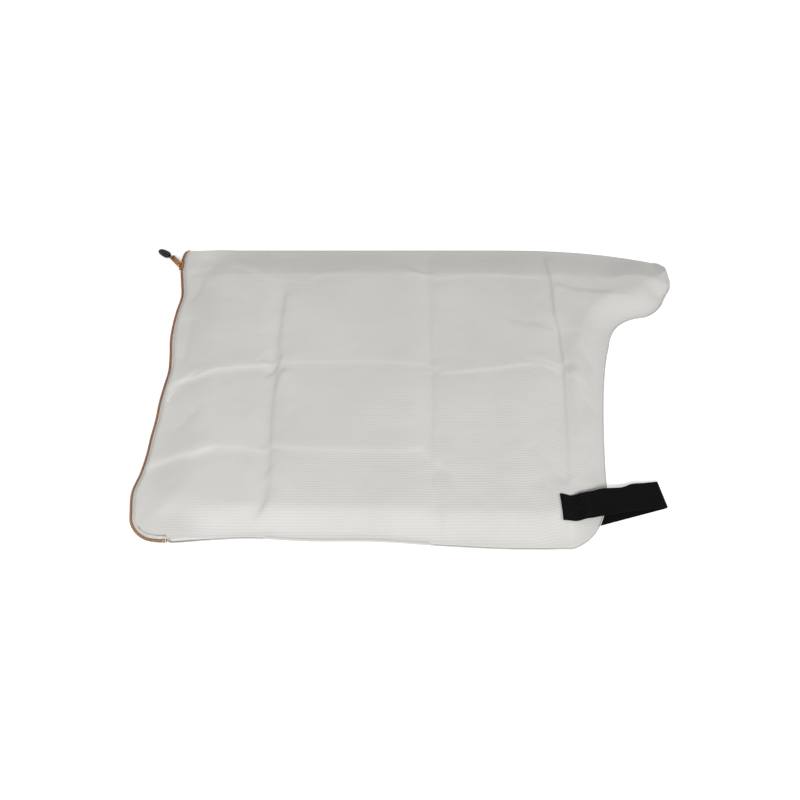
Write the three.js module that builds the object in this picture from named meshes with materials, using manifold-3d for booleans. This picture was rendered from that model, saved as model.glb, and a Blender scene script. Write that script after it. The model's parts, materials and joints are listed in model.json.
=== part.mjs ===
// Grass bag for a garden machine, lying flat as it is stored. Millimetres, +Z up, +Y away from
// the viewer, +X from the zip towards the neck.
//
// One cloth, folded in half at the far edge, is sewn along its near and right edges. The neck is
// cut in one with it and gathered at its mouth by an elastic. A coil zip closes the left end, and
// a webbing loop is sewn over the near right corner.

import * as THREE from "three";
import { mergeVertices } from "three/addons/utils/BufferGeometryUtils.js";
import Module from "manifold-3d";

const wasm = await Module();
wasm.setup();

// Cut sizes of the bag
const bodyLength = 684; // zip line to the right edge
const bodyWidth = 536.5; // near seam to the far fold
const edgeLean = 39; // how far the right edge leans out by the shoulder
const cutLength = 59; // near right corner, along the near edge
const cutHeight = 80; // near right corner, along the right edge
const shoulderHeight = 332; // near seam to where the right edge turns into the neck
const shoulderReach = 69; // length of that turn along the neck
const neckHeight = 393; // near seam to the neck's near side
const neckLength = 123; // right edge to the mouth
const mouthHeight = 433; // near seam to the mouth's near corner
const mouthWidth = 69; // mouth laid flat, gathered
const mouthBulge = 13;
const mouthNearCut = 14; // the mouth's near corner behind the bag's full length
const mouthFarCut = 18; // its far corner
const farDrop = bodyWidth - mouthHeight - mouthWidth; // how far the far fold falls towards the mouth
const dropStart = 0.64; // share of the length where it starts to fall
const nearWave = [[165, 7.6], [255, 3.4], [350, 2.8], [440, -3.2], [530, -7.9]]; // the near seam passes these
const nearSag = 8.4; // how far it stands towards the viewer at the near right corner
const footReach = 9; // zip's end to where the near seam starts
const cornerRadius = 44; // near left corner, which the zip goes round
const farCorner = 11; // far left corner

// Cloth
const clothWall = 0.8;
const seamHeight = 2.2; // two layers sewn together
const bodyCrown = 19; // top of the cloth over the floor, with some air inside
const neckCrown = 23;
const mouthCrown = 15;
const rampNear = 46;
const rampFar = 66;
const rampRight = 52;
const rampLeft = 62;
const foldDepth = 1.6; // valleys left by the folds it was packed in
const flapDepth = 5.5; // the fold beside the right edge is deeper
const foldSpread = 17;
const foldLines = [0.27, 0.637]; // places of the folds, as shares of the length
const flapLine = 0.94; // the third fold

// Zip
const coilWidth = 2.6;
const coilHalf = 1.2;
const coilGap = 0.1; // each row to the zip's middle
const tapeThickness = 0.5;
const tapeBack = 1.7; // middle of the tape behind the middle of the coils
const tapeTurn = -3; // zip's middle to the lower half's fold, outwards
const tapeFloor = 0.5; // middle of the tape at that fold
const tapeReach = 15; // zip's middle to the tape's hidden edge
const zipTilt = THREE.MathUtils.degToRad(45); // its face looks outwards and up
const zipHeight = 8.2; // zip's middle over the floor
const tapeStraight = 5.4; // how far the tape keeps to the zip's face
const tapeCut = 16; // the tape's hidden edge slants over this length at each end
const reveal = 6.6; // zip's middle to the cloth's edge
const zipSway = [6, 6, 11, 15.5, 12, 10, 10.5, 14.5, 17, 14, 11.5, 11, 8.5, 7, 3, -4, -1]; // far end to near end
const zipStart = 17; // far fold to the straight run's start
const zipOverrun = 12; // past the near left corner
const zipMouth = 13.2; // height of the cloth's edge along the zip
const zipFlat = 11; // the cloth stays at that height this far in
const zipStretches = [[0, 17], [0.1, 20], [0.82, 11], [1, 0]]; // where each stretch starts, and its steps
const sewGap = 0.3; // between sewn pieces
const underlap = 0.6; // the cloth's edge overlaps the tape's slope by this
const tapeGap = 0.5; // hidden part of the zip's tape to its layer of cloth

// Slider, its pull tab, and the puller
const sliderLength = 14;
const sliderHalf = 4.6;
const sliderRear = 3.7; // half width at the end that faces the closed zip
const plate = 1;
const topPlate = 1.5; // underside of the outer plate, over the coils' middle
const backPlate = 2.35; // top of the inner plate, below it
const flangeDrop = 2.2;
const flangeWall = 1;
const sliderPlace = 40; // far fold to the slider's middle
const postHalf = 1; // post between the two plates
const bailSpan = 7;
const bailRise = 3.4;
const bailThick = 1.1;
const tabLength = 31;
const tabHalf = 4.8;
const tabThick = 1.2;
const eyeHalf = 3.3;
const eyeLength = 4.3;
const eyeRim = 1.5;
const outerEyeLength = 5;
const tabSkew = THREE.MathUtils.degToRad(34); // from the zip's line, on the slider's plate
const tabLift = THREE.MathUtils.degToRad(16); // up from the slider's plate
const cordRadius = 1.1;
const loopHalf = 4.4; // half the cord loop's width
const loopLength = 9.4;
const gripLength = 25.5;
const gripHalf = 6.3;
const gripThick = 5;
const socketDepth = 3;
const pullerAngle = THREE.MathUtils.degToRad(145); // its direction on the floor
const loopRoll = THREE.MathUtils.degToRad(30);

// Stops
const stopLength = 3;

// Webbing loop
const webWidth = 40;
const webThickness = 1.6;
const webEnd = { x: 615.5, y: 46 }; // upper sewn end, middle of the webbing
const webReach = 151; // sewn end to the fold
const webTurn = 9.5; // upper end's direction, degrees from +X
const webUnderTurn = 15; // lower run's direction, degrees from +X
const webLoop = 8.4; // height of the loop at its fold, outside
const webUnderLength = 150;
const webSpanHeight = 24; // the upper run's straight line starts this high
const webPocket = 34; // how far the cloth's lift over the lower run fades

// Elastic, bindings and threads
const elasticWidth = 7;
const elasticThickness = 0.8;
const elasticGap = 0.75; // cloth's inside to the elastic
const elasticFrom = 4; // the elastic's first and last places across the mouth
const elasticTo = 12;
const elasticInset = 2; // mouth to the elastic
const bindingWidth = 2;
const bindingHeight = 2.2;
const bindingInset = 0.4; // cloth's edge to the binding

const colours = { cloth: 0xcfcdc8, tape: 0xc9c3b2, coil: 0x7c4f35, metal: 0x8a5a30, black: 0x161616 };

const V2 = (x, y) => new THREE.Vector2(x, y);
const V3 = (x, y, z) => new THREE.Vector3(x, y, z);
const smooth = (t) => THREE.MathUtils.smoothstep(t, 0, 1);
const degrees = THREE.MathUtils.degToRad;
const parts = new THREE.Group();

function addPart(name, geometry, colour, roughness = 0.9, metalness = 0) {
  const material = new THREE.MeshStandardMaterial({ color: colour, roughness, metalness });
  const mesh = new THREE.Mesh(geometry, material);
  mesh.name = name;
  return mesh;
}

// A closed solid between two sheets of points, which have the same rows and columns. With wrap,
// each row is a closed ring.
function solidBetween(outer, inner, wrap = false) {
  const rows = outer.length;
  const cols = outer[0].length;
  const at = (layer, i, j) => (layer * rows + i) * cols + (j % cols);
  const faces = [];
  const quad = (a, b, c, d) => faces.push(a, b, c, a, c, d);
  const lastCol = wrap ? cols : cols - 1;
  for (let i = 0; i < rows - 1; i++)
    for (let j = 0; j < lastCol; j++) {
      quad(at(0, i, j), at(0, i + 1, j), at(0, i + 1, j + 1), at(0, i, j + 1));
      quad(at(1, i, j), at(1, i, j + 1), at(1, i + 1, j + 1), at(1, i + 1, j));
    }
  for (let j = 0; j < lastCol; j++) {
    quad(at(0, 0, j), at(0, 0, j + 1), at(1, 0, j + 1), at(1, 0, j));
    quad(at(0, rows - 1, j), at(1, rows - 1, j), at(1, rows - 1, j + 1), at(0, rows - 1, j + 1));
  }
  if (!wrap)
    for (let i = 0; i < rows - 1; i++) {
      quad(at(0, i, 0), at(1, i, 0), at(1, i + 1, 0), at(0, i + 1, 0));
      quad(at(0, i, cols - 1), at(0, i + 1, cols - 1), at(1, i + 1, cols - 1), at(1, i, cols - 1));
    }
  const points = [...outer.flat(), ...inner.flat()];
  const geometry = new THREE.BufferGeometry().setFromPoints(points);
  let volume = 0;
  for (let f = 0; f < faces.length; f += 3) {
    const [a, b, c] = [points[faces[f]], points[faces[f + 1]], points[faces[f + 2]]];
    volume += a.dot(V3(0, 0, 0).crossVectors(b, c));
  }
  geometry.setIndex(volume < 0 ? faces.reverse() : faces);
  return geometry;
}

function toSolid(geometry) {
  const bare = geometry.clone();
  bare.deleteAttribute("normal");
  bare.deleteAttribute("uv");
  const merged = mergeVertices(bare, 1e-4);
  return new wasm.Manifold(
    new wasm.Mesh({
      numProp: 3,
      vertProperties: merged.attributes.position.array,
      triVerts: new Uint32Array(merged.index.array),
    }),
  );
}

function toGeometry(solid) {
  const mesh = solid.getMesh();
  return new THREE.BufferGeometry()
    .setAttribute("position", new THREE.BufferAttribute(mesh.vertProperties, 3))
    .setIndex(new THREE.BufferAttribute(mesh.triVerts, 1));
}

// A flat plate with a rounded outline, from z 0 up to its thickness.
function plateOf(outline, thickness, segments = 6) {
  return new THREE.ExtrudeGeometry(outline, { depth: thickness, bevelEnabled: false, curveSegments: segments });
}

function boxAt(sizeX, sizeY, sizeZ, x, y, z) {
  return new THREE.BoxGeometry(sizeX, sizeY, sizeZ).translate(x, y, z);
}

// Zip line, from the far left corner down the left end and round the near left corner.
const zipFarY = bodyWidth - zipStart;
const zipNearY = cornerRadius;
const zipPoints = [
  V3(farCorner + zipSway[0] - 2, bodyWidth - 5, 0),
  V3(zipSway[0] + farCorner * 0.3, bodyWidth - 7.5, 0),
];
zipSway.forEach((sway, k) => {
  const y = THREE.MathUtils.lerp(zipFarY, zipNearY, k / (zipSway.length - 1));
  zipPoints.push(V3(sway, y, 0));
});
const lastSway = zipSway[zipSway.length - 1];
for (const turn of [202, 225, 248, 270]) {
  const angle = degrees(turn);
  const reachX = cornerRadius - lastSway;
  zipPoints.push(V3(cornerRadius + reachX * Math.cos(angle), cornerRadius * (1 + Math.sin(angle)), 0));
}
zipPoints.push(V3(cornerRadius + zipOverrun, 0, 0));
const zipLine = new THREE.CatmullRomCurve3(zipPoints, false, "centripetal");

// A place beside the zip: along it from 0 to 1, inwards from its middle, and over the floor.
function besideZip(share, inwards, height) {
  const point = zipLine.getPointAt(share);
  const along = zipLine.getTangentAt(share);
  return V3(point.x - along.y * inwards, point.y + along.x * inwards, height);
}

// Zip coordinates: across the zip's face and out of it, turned by its tilt.
function onZipFace(share, across, out) {
  const inwards = across * Math.cos(zipTilt) - out * Math.sin(zipTilt);
  const height = across * Math.sin(zipTilt) + out * Math.cos(zipTilt);
  return besideZip(share, inwards, zipHeight + height);
}

// Outline of the cloth: matching places on its near and far edges, from the zip to the mouth.
const length = bodyLength + edgeLean + neckLength;
function farEdge(x) {
  const start = length * dropStart;
  const t = Math.max(0, (x - start) / (length - start));
  return V3(x, bodyWidth - farDrop * Math.pow(t, 2.6), 0);
}
const zipEnd = besideZip(1, reveal, 0);
const zipTop = besideZip(0, reveal, 0);
const rightFoot = V2(bodyLength, cutHeight);
const shoulder = V2(bodyLength + edgeLean, shoulderHeight);
const neckFoot = V2(bodyLength + edgeLean + shoulderReach, neckHeight);
const mouthNear = V2(length - mouthNearCut, mouthHeight);
const mouthFarX = length - mouthFarCut;
const seamStart = V2(zipEnd.x + footReach, footReach * 0.1);
const cornerStart = V2(bodyLength - cutLength, -nearSag);
const nearSeam = new THREE.SplineCurve([seamStart, ...nearWave.map(([x, y]) => V2(x, y)), cornerStart]);
const nearEdges = [
  [new THREE.LineCurve(V2(zipEnd.x, zipEnd.y), seamStart), 2],
  [nearSeam, 22],
  [new THREE.QuadraticBezierCurve(cornerStart, V2(bodyLength - 10, 6), rightFoot), 5],
  [new THREE.QuadraticBezierCurve(rightFoot, V2(bodyLength + edgeLean * 0.38, shoulderHeight * 0.8), shoulder), 8],
  [new THREE.QuadraticBezierCurve(shoulder, V2(shoulder.x + 10, neckHeight - 6), neckFoot), 5],
  [new THREE.QuadraticBezierCurve(neckFoot, V2(neckFoot.x + 26, neckHeight + 8), mouthNear), 6],
];
const farCut = bodyLength - 1.6 * cutLength;
const farFoot = bodyLength - 0.9 * cutLength;
const farStops = [zipTop.x, zipTop.x + footReach, farCut, farFoot, shoulder.x + 8, neckFoot.x, mouthFarX];

const stations = [];
nearEdges.forEach(([curve, count], k) => {
  for (let i = k ? 1 : 0; i <= count; i++) {
    const near = curve.getPoint(i / count);
    const x = THREE.MathUtils.lerp(farStops[k], farStops[k + 1], i / count);
    const far = farEdge(x);
    const intoFold = smooth((x - zipTop.x - zipFlat) / rampLeft);
    far.y = THREE.MathUtils.lerp(zipTop.y, far.y, intoFold);
    stations.push({ near: V3(near.x, near.y, 0), far });
  }
});

const across = [0, 0.022, 0.055, 0.1, 0.17, 0.26, 0.36, 0.46, 0.56, 0.66, 0.75, 0.83, 0.89, 0.935, 0.972, 1];

// How far the cloth is lifted by the webbing that lies under it.
const webUnder = V2(Math.cos(degrees(webUnderTurn)), Math.sin(degrees(webUnderTurn)));
const webFold = V2(webEnd.x + webReach * Math.cos(degrees(webTurn)), webEnd.y + webReach * Math.sin(degrees(webTurn)));
function webLift(x, y) {
  const back = V2(webFold.x - x, webFold.y - y);
  const along = back.dot(webUnder);
  const side = Math.abs(back.x * webUnder.y - back.y * webUnder.x);
  const past = Math.max(0, along - webUnderLength, side - webWidth / 2);
  const clear = webPocket - Math.max(0, past - 9);
  return (webThickness + sewGap) * smooth(clear / webPocket);
}

// Shortest distance from a place to a line of points.
function distanceTo(line, x, y) {
  const place = V3(x, y, 0);
  const nearest = V3(0, 0, 0);
  const segment = new THREE.Line3();
  let shortest = Infinity;
  for (let i = 1; i < line.length; i++) {
    segment.set(line[i - 1], line[i]).closestPointToPoint(place, true, nearest);
    shortest = Math.min(shortest, nearest.distanceTo(place));
  }
  return shortest;
}

// Height of the cloth's outside over the floor, from its place and its distance to each edge.
const nearLine = stations.map((station) => station.near);
const farLine = stations.map((station) => station.far);
const zipLinePoints = zipLine.getSpacedPoints(40);
function clothTop(x, y, width) {
  const intoNeck = smooth((x - bodyLength - edgeLean * 0.4) / 70);
  const toMouth = smooth((length - x) / (neckLength * 0.55));
  let crown = THREE.MathUtils.lerp(bodyCrown, neckCrown, intoNeck);
  crown = THREE.MathUtils.lerp(mouthCrown, crown, toMouth);
  for (const line of foldLines) crown -= foldDepth * Math.exp(-Math.pow((x - line * bodyLength) / foldSpread, 2));
  const flapFade = 1 - smooth((y - shoulderHeight) / (neckHeight - shoulderHeight));
  crown -= flapDepth * flapFade * Math.exp(-Math.pow((x - flapLine * bodyLength) / foldSpread, 2));
  const near = Math.min(THREE.MathUtils.lerp(rampNear, rampRight, smooth(x / bodyLength)), width * 0.34);
  const far = Math.min(rampFar, width * 0.4);
  const rise = smooth(distanceTo(nearLine, x, y) / near) * smooth(distanceTo(farLine, x, y) / far);
  const fromZip = smooth((distanceTo(zipLinePoints, x, y) - reveal - zipFlat) / rampLeft);
  const edge = THREE.MathUtils.lerp(zipMouth, seamHeight, fromZip);
  const middle = THREE.MathUtils.lerp(zipMouth, crown, fromZip);
  return edge + (middle - edge) * rise;
}

// Each station's places across the bag, from the near edge to the far one.
const first = stations[0];
const chord = (station, t) => V3(0, 0, 0).lerpVectors(station.near, station.far, t);
const clothRows = stations.map((station) => {
  const toZip = V3(0, 0, 0).subVectors(chord(station, 0.5), chord(first, 0.5)).x;
  const swayShare = 1 - smooth(toZip / 90);
  const bulgeShare = smooth(1 - (length - station.far.x) / neckLength);
  const width = station.near.distanceTo(station.far);
  return across.map((t) => {
    const place = chord(station, t);
    place.addScaledVector(V3(0, 0, 0).subVectors(besideZip(1 - t, reveal, 0), chord(first, t)), swayShare);
    place.x += mouthBulge * bulgeShare * (1 - Math.pow(2 * t - 1, 4));
    const lift = webLift(place.x, place.y);
    const top = clothTop(place.x, place.y, width);
    return { x: place.x, y: place.y, top: top + lift, bottom: lift };
  });
});

const insetShare = 0.45; // sewn seam, as a share of the first strip of cloth
function insideRow(row) {
  const end = (a, b, share) => ({
    x: THREE.MathUtils.lerp(a.x, b.x, share),
    y: THREE.MathUtils.lerp(a.y, b.y, share),
    top: THREE.MathUtils.lerp(a.top, b.top, share),
    bottom: THREE.MathUtils.lerp(a.bottom, b.bottom, share),
  });
  const inside = row.slice();
  inside[0] = end(row[0], row[1], insetShare);
  inside[row.length - 1] = end(row[row.length - 1], row[row.length - 2], insetShare * 0.3);
  return inside.map((p) => ({ x: p.x, y: p.y, top: p.top - clothWall, bottom: p.bottom + clothWall }));
}
const ringOf = (row) => [
  ...row.map((p) => V3(p.x, p.y, p.top)),
  ...row.map((p) => V3(p.x, p.y, p.bottom)).reverse(),
];

function bagCloth() {
  const outside = clothRows.map(ringOf);
  const inside = clothRows.map((row) => ringOf(insideRow(row)));
  return solidBetween(outside, inside, true);
}

const cloth = addPart("bag_cloth", bagCloth(), colours.cloth);
parts.add(cloth);

// Both layers' raw edges, overlocked together just outside the seam.
function seamBinding() {
  const line = nearLine.slice(1);
  const top = [];
  const bottom = [];
  line.forEach((point, i) => {
    const before = V3(0, 0, 0).subVectors(point, line[Math.max(i - 1, 0)]).normalize();
    const after = V3(0, 0, 0).subVectors(line[Math.min(i + 1, line.length - 1)], point).normalize();
    const along = before.clone().add(after).normalize();
    const mitre = Math.max(along.dot(before), along.dot(after));
    const outwards = V3(along.y, -along.x, 0).divideScalar(mitre);
    const lift = webLift(point.x, point.y);
    const edges = [bindingInset, bindingInset + bindingWidth].map((d) => point.clone().addScaledVector(outwards, d));
    top.push(edges.map((p) => V3(p.x, p.y, lift + bindingHeight)));
    bottom.push(edges.map((p) => V3(p.x, p.y, lift)));
  });
  return solidBetween(top, bottom);
}
parts.add(addPart("seam_binding", seamBinding(), colours.tape));

// A closed ring, seen from the mouth, moved inwards all round by the same amount.
function insetRing(ring, amount) {
  const flat = ring.map((p) => V2(p.y, p.z));
  const turn = Math.sign(THREE.ShapeUtils.area(flat));
  return ring.map((p, k) => {
    const before = flat[k].clone().sub(flat[(k + ring.length - 1) % ring.length]).normalize();
    const after = flat[(k + 1) % ring.length].clone().sub(flat[k]).normalize();
    const along = before.clone().add(after).normalize();
    const reach = (turn * amount) / along.dot(before);
    return V3(p.x, p.y - along.y * reach, p.z + along.x * reach);
  });
}

// Elastic ring inside the mouth, which gathers it.
function neckElastic() {
  const wide = clothRows.slice(-2).map((row) => insideRow(row).slice(elasticFrom, elasticTo));
  const rings = wide.map(ringOf);
  const stretch = rings[0][0].distanceTo(rings[1][0]);
  const at = (share, amount) => insetRing(rings[1].map((p, k) => p.clone().lerp(rings[0][k], share)), amount);
  const shares = [(elasticInset + elasticWidth) / stretch, elasticInset / stretch];
  const outside = shares.map((share) => at(share, elasticGap));
  const inside = shares.map((share) => at(share, elasticGap + elasticThickness));
  return solidBetween(outside, inside, true);
}
parts.add(addPart("neck_elastic", neckElastic(), colours.tape));

// The two halves of the zip part a little inside the slider, round its post.
const zipLength = zipLine.getLength();
const sliderY = bodyWidth - sliderPlace;
const shareAtY = (y) => {
  let share = 0;
  while (zipLine.getPointAt(share).y > y) share += 0.0005;
  return share;
};
const sliderShare = shareAtY(sliderY);
const parting = postHalf * 1.4;
const partedAt = (share) => parting * smooth(((sliderShare - share) * zipLength + 1.5) / 4);
const zipShares = [0];
zipStretches.slice(1).forEach(([end], k) => {
  const [start, steps] = zipStretches[k];
  for (let i = 1; i <= steps; i++) zipShares.push(THREE.MathUtils.lerp(start, end, i / steps));
});

// One half of the tape: behind the coils, then inwards to its layer of cloth.
function zipTape(side) {
  const top = [];
  const bottom = [];
  const hidden = side > 0 ? zipMouth - clothWall - tapeGap - tapeThickness : clothWall + tapeGap;
  const start = 2 * coilGap;
  for (const share of zipShares) {
    const fromEnd = Math.min(share, 1 - share) * zipLength;
    const reach = THREE.MathUtils.lerp(reveal + 1, tapeReach, smooth((fromEnd - sliderLength) / tapeCut));
    const inner = side * (start + partedAt(share));
    const section = (edge) => {
      const out = edge - tapeBack;
      const height = hidden + tapeThickness / 2 + side * edge;
      const points = [onZipFace(share, inner, out), onZipFace(share, side * tapeStraight, out)];
      if (side < 0) points.push(besideZip(share, tapeTurn - edge, tapeFloor - edge));
      return [...points, besideZip(share, reveal + underlap, height), besideZip(share, reach + underlap, height)];
    };
    top.push(section(tapeThickness / 2));
    bottom.push(section(-tapeThickness / 2));
  }
  return solidBetween(top, bottom);
}
parts.add(addPart("zip_tape_upper", zipTape(1), colours.tape));
parts.add(addPart("zip_tape_lower", zipTape(-1), colours.tape));

// One row of the coil, from the top stops to the bottom stop.
const stopShare = (stopLength + sewGap) / zipLength;
function zipCoil(side) {
  const ends = [stopShare * 1.5, 1 - stopShare * 1.5];
  const shares = [ends[0], ...zipShares.filter((share) => share > ends[0] && share < ends[1]), ends[1]];
  const bevel = coilHalf * 0.5;
  const top = [];
  const bottom = [];
  for (const share of shares) {
    const inner = coilGap + partedAt(share);
    const outer = inner + coilWidth;
    const places = [inner, inner + bevel, outer - bevel, outer];
    const heights = [coilHalf - bevel, coilHalf, coilHalf, coilHalf - bevel];
    top.push(places.map((a, k) => onZipFace(share, side * a, heights[k])));
    bottom.push(places.map((a, k) => onZipFace(share, side * a, -heights[k])));
  }
  return solidBetween(top, bottom);
}
parts.add(addPart("zip_coil_upper", zipCoil(1), colours.coil, 0.5));
parts.add(addPart("zip_coil_lower", zipCoil(-1), colours.coil, 0.5));

// A block lying on the zip's face at a share of its length.
function onZip(geometry, share) {
  const origin = onZipFace(share, 0, 0);
  const across = onZipFace(share, 1, 0).sub(origin);
  const out = onZipFace(share, 0, 1).sub(origin);
  const back = V3(0, 0, 0).crossVectors(across, out).negate();
  const frame = new THREE.Matrix4().makeBasis(across, back, out).setPosition(origin);
  return geometry.applyMatrix4(frame);
}
const stopTop = coilHalf + 0.2;
const stopBottom = tapeThickness / 2 - tapeBack + sewGap;
function zipStop(from, to, share) {
  const middle = (from + to) / 2;
  const box = boxAt(to - from, stopLength, stopTop - stopBottom, middle, 0, (stopTop + stopBottom) / 2);
  return onZip(box, share);
}
const topStop = coilGap + parting;
const stopMiddle = stopShare * 0.75;
parts.add(addPart("zip_top_stop_upper", zipStop(topStop, topStop + coilWidth, stopMiddle), colours.metal, 0.35, 0.9));
parts.add(addPart("zip_top_stop_lower", zipStop(-topStop - coilWidth, -topStop, stopMiddle), colours.metal, 0.35, 0.9));
const bottomHalf = coilWidth + coilGap;
parts.add(addPart("zip_bottom_stop", zipStop(-bottomHalf, bottomHalf, 1 - stopMiddle), colours.metal, 0.35, 0.9));

// Slider: an outer plate with side flanges and an inner plate, joined by a post between the
// rows. Its wide end leads, towards the top stops.
function sliderPlateOutline(grow) {
  const half = sliderLength / 2;
  const outline = new THREE.Shape();
  outline.moveTo(-sliderRear - grow, -half);
  outline.lineTo(sliderRear + grow, -half);
  outline.lineTo(sliderHalf + grow, half - 3);
  outline.quadraticCurveTo(sliderHalf + grow, half, sliderHalf + grow - 2.4, half);
  outline.lineTo(-sliderHalf - grow + 2.4, half);
  outline.quadraticCurveTo(-sliderHalf - grow, half, -sliderHalf - grow, half - 3);
  outline.closePath();
  return outline;
}
function sliderBody() {
  const outer = plateOf(sliderPlateOutline(flangeWall), plate).translate(0, 0, topPlate);
  const skirt = plateOf(sliderPlateOutline(flangeWall), flangeDrop + 0.1).translate(0, 0, topPlate - flangeDrop);
  const channel = new THREE.BoxGeometry(2 * sliderHalf, 2 * sliderLength, flangeDrop + 0.1);
  channel.translate(0, 0, topPlate - flangeDrop / 2 - 0.05);
  const inner = plateOf(sliderPlateOutline(0), plate).translate(0, 0, -backPlate - plate);
  const postLength = 3.4;
  const post = boxAt(2 * postHalf, postLength, topPlate + backPlate + plate, 0, sliderLength / 2 - postLength / 2 - 0.6, (topPlate - backPlate) / 2);
  const flanges = toSolid(skirt).subtract(toSolid(channel));
  return toGeometry(toSolid(outer).add(flanges).add(toSolid(inner)).add(toSolid(post)));
}
parts.add(addPart("slider_body", onZip(sliderBody(), sliderShare), colours.metal, 0.35, 0.9));

// Bridge on the outer plate, along the zip, which the tab's end bar passes under.
const plateTop = topPlate + plate;
function sliderBail() {
  const outer = bailSpan / 2;
  const arch = new THREE.Shape();
  arch.moveTo(-outer, 0);
  arch.lineTo(-outer, bailRise - bailThick);
  arch.quadraticCurveTo(-outer, bailRise, -outer + bailThick, bailRise);
  arch.lineTo(outer - bailThick, bailRise);
  arch.quadraticCurveTo(outer, bailRise, outer, bailRise - bailThick);
  arch.lineTo(outer, 0);
  arch.lineTo(outer - bailThick, 0);
  arch.lineTo(outer - bailThick, bailRise - bailThick);
  arch.lineTo(bailThick - outer, bailRise - bailThick);
  arch.lineTo(bailThick - outer, 0);
  arch.closePath();
  const bridge = plateOf(arch, bailThick).translate(0, 0, -bailThick / 2);
  return bridge.rotateX(Math.PI / 2).rotateZ(Math.PI / 2).translate(0, 0, plateTop + sewGap);
}
parts.add(addPart("slider_bail", onZip(sliderBail(), sliderShare), colours.metal, 0.35, 0.9));

// Pull tab, in its own frame: end bar at the origin, length along +Y, thickness about z 0.
const tabEnd = tabLength - eyeRim / 2;
const outerEye = tabEnd - eyeRim - outerEyeLength / 2;
function pullTab() {
  const rim = eyeHalf + eyeRim;
  const outline = new THREE.Shape();
  outline.moveTo(-rim + 1, -eyeRim / 2);
  outline.lineTo(rim - 1, -eyeRim / 2);
  outline.quadraticCurveTo(rim, -eyeRim / 2, rim, 1);
  outline.lineTo(tabHalf, eyeLength + eyeRim);
  outline.lineTo(tabHalf, tabEnd - 3);
  outline.quadraticCurveTo(tabHalf, tabEnd, tabHalf - 3, tabEnd);
  outline.lineTo(3 - tabHalf, tabEnd);
  outline.quadraticCurveTo(-tabHalf, tabEnd, -tabHalf, tabEnd - 3);
  outline.lineTo(-tabHalf, eyeLength + eyeRim);
  outline.lineTo(-rim, 1);
  outline.quadraticCurveTo(-rim, -eyeRim / 2, -rim + 1, -eyeRim / 2);
  const innerEye = new THREE.Path();
  innerEye.moveTo(-eyeHalf, eyeRim / 2);
  innerEye.lineTo(-eyeHalf, eyeRim / 2 + eyeLength);
  innerEye.lineTo(eyeHalf, eyeRim / 2 + eyeLength);
  innerEye.lineTo(eyeHalf, eyeRim / 2);
  innerEye.closePath();
  const ringEye = new THREE.Path();
  ringEye.absarc(0, outerEye, outerEyeLength / 2, 0, 2 * Math.PI, true);
  outline.holes.push(innerEye, ringEye);
  return plateOf(outline, tabThick, 5).translate(0, 0, -tabThick / 2);
}
const tabFrame = new THREE.Matrix4()
  .makeTranslation(0, 0, plateTop + sewGap + (bailRise - bailThick) / 2)
  .multiply(new THREE.Matrix4().makeRotationZ(tabSkew))
  .multiply(new THREE.Matrix4().makeRotationX(tabLift));
parts.add(addPart("pull_tab", onZip(pullTab().applyMatrix4(tabFrame), sliderShare), colours.metal, 0.35, 0.9));

// Puller: a cord loop through the tab's outer eye, moulded into a grip that lies on the floor.
// Its own frame has the eye at the origin, the grip along +Y and the loop's width along +X.
const eyePoint = onZip(
  new THREE.BufferGeometry().setFromPoints([V3(0, outerEye, 0).applyMatrix4(tabFrame)]),
  sliderShare,
).attributes.position;
const eyePlace = V3(eyePoint.getX(0), eyePoint.getY(0), eyePoint.getZ(0));
const pullerFall = (eyePlace.z - gripThick / 2) / (loopLength + gripLength);
const pullerAlong = V3(Math.cos(pullerAngle), Math.sin(pullerAngle), -pullerFall).normalize();
const level = V3(0, 0, 0).crossVectors(V3(0, 0, 1), pullerAlong).normalize();
const upright = V3(0, 0, 0).crossVectors(pullerAlong, level);
const loopAcross = level.clone().multiplyScalar(Math.cos(loopRoll)).addScaledVector(upright, Math.sin(loopRoll));
const loopOut = V3(0, 0, 0).crossVectors(loopAcross, pullerAlong);
const loopFrame = new THREE.Matrix4().makeBasis(loopAcross, pullerAlong, loopOut).setPosition(eyePlace);
const gripFrame = new THREE.Matrix4()
  .makeBasis(V3(0, 0, 0).crossVectors(pullerAlong, upright), pullerAlong, upright)
  .setPosition(eyePlace);

function pullerLoop() {
  const legEnd = loopLength + socketDepth;
  const neck = cordRadius + 0.15;
  const shoulderY = loopLength - 1.4;
  const path = new THREE.CurvePath();
  const corner = 1.5;
  const line = (a, b) => path.add(new THREE.LineCurve3(a, b));
  const bend = (a, b, c) => path.add(new THREE.QuadraticBezierCurve3(a, b, c));
  line(V3(-neck, legEnd, 0), V3(-neck, shoulderY, 0));
  bend(V3(-neck, shoulderY, 0), V3(-neck, shoulderY - 2, 0), V3(-loopHalf, shoulderY - 2.6, 0));
  line(V3(-loopHalf, shoulderY - 2.6, 0), V3(-loopHalf, corner, 0));
  bend(V3(-loopHalf, corner, 0), V3(-loopHalf, 0, 0), V3(corner - loopHalf, 0, 0));
  line(V3(corner - loopHalf, 0, 0), V3(loopHalf - corner, 0, 0));
  bend(V3(loopHalf - corner, 0, 0), V3(loopHalf, 0, 0), V3(loopHalf, corner, 0));
  line(V3(loopHalf, corner, 0), V3(loopHalf, shoulderY - 2.6, 0));
  bend(V3(loopHalf, shoulderY - 2.6, 0), V3(neck, shoulderY - 2, 0), V3(neck, shoulderY, 0));
  line(V3(neck, shoulderY, 0), V3(neck, legEnd, 0));
  const section = new THREE.Shape().absarc(0, 0, cordRadius, 0, 2 * Math.PI, false);
  return new THREE.ExtrudeGeometry(section, { extrudePath: path, steps: 30, curveSegments: 4, bevelEnabled: false });
}
parts.add(addPart("puller_loop", pullerLoop().applyMatrix4(loopFrame), colours.black, 0.7));

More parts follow.
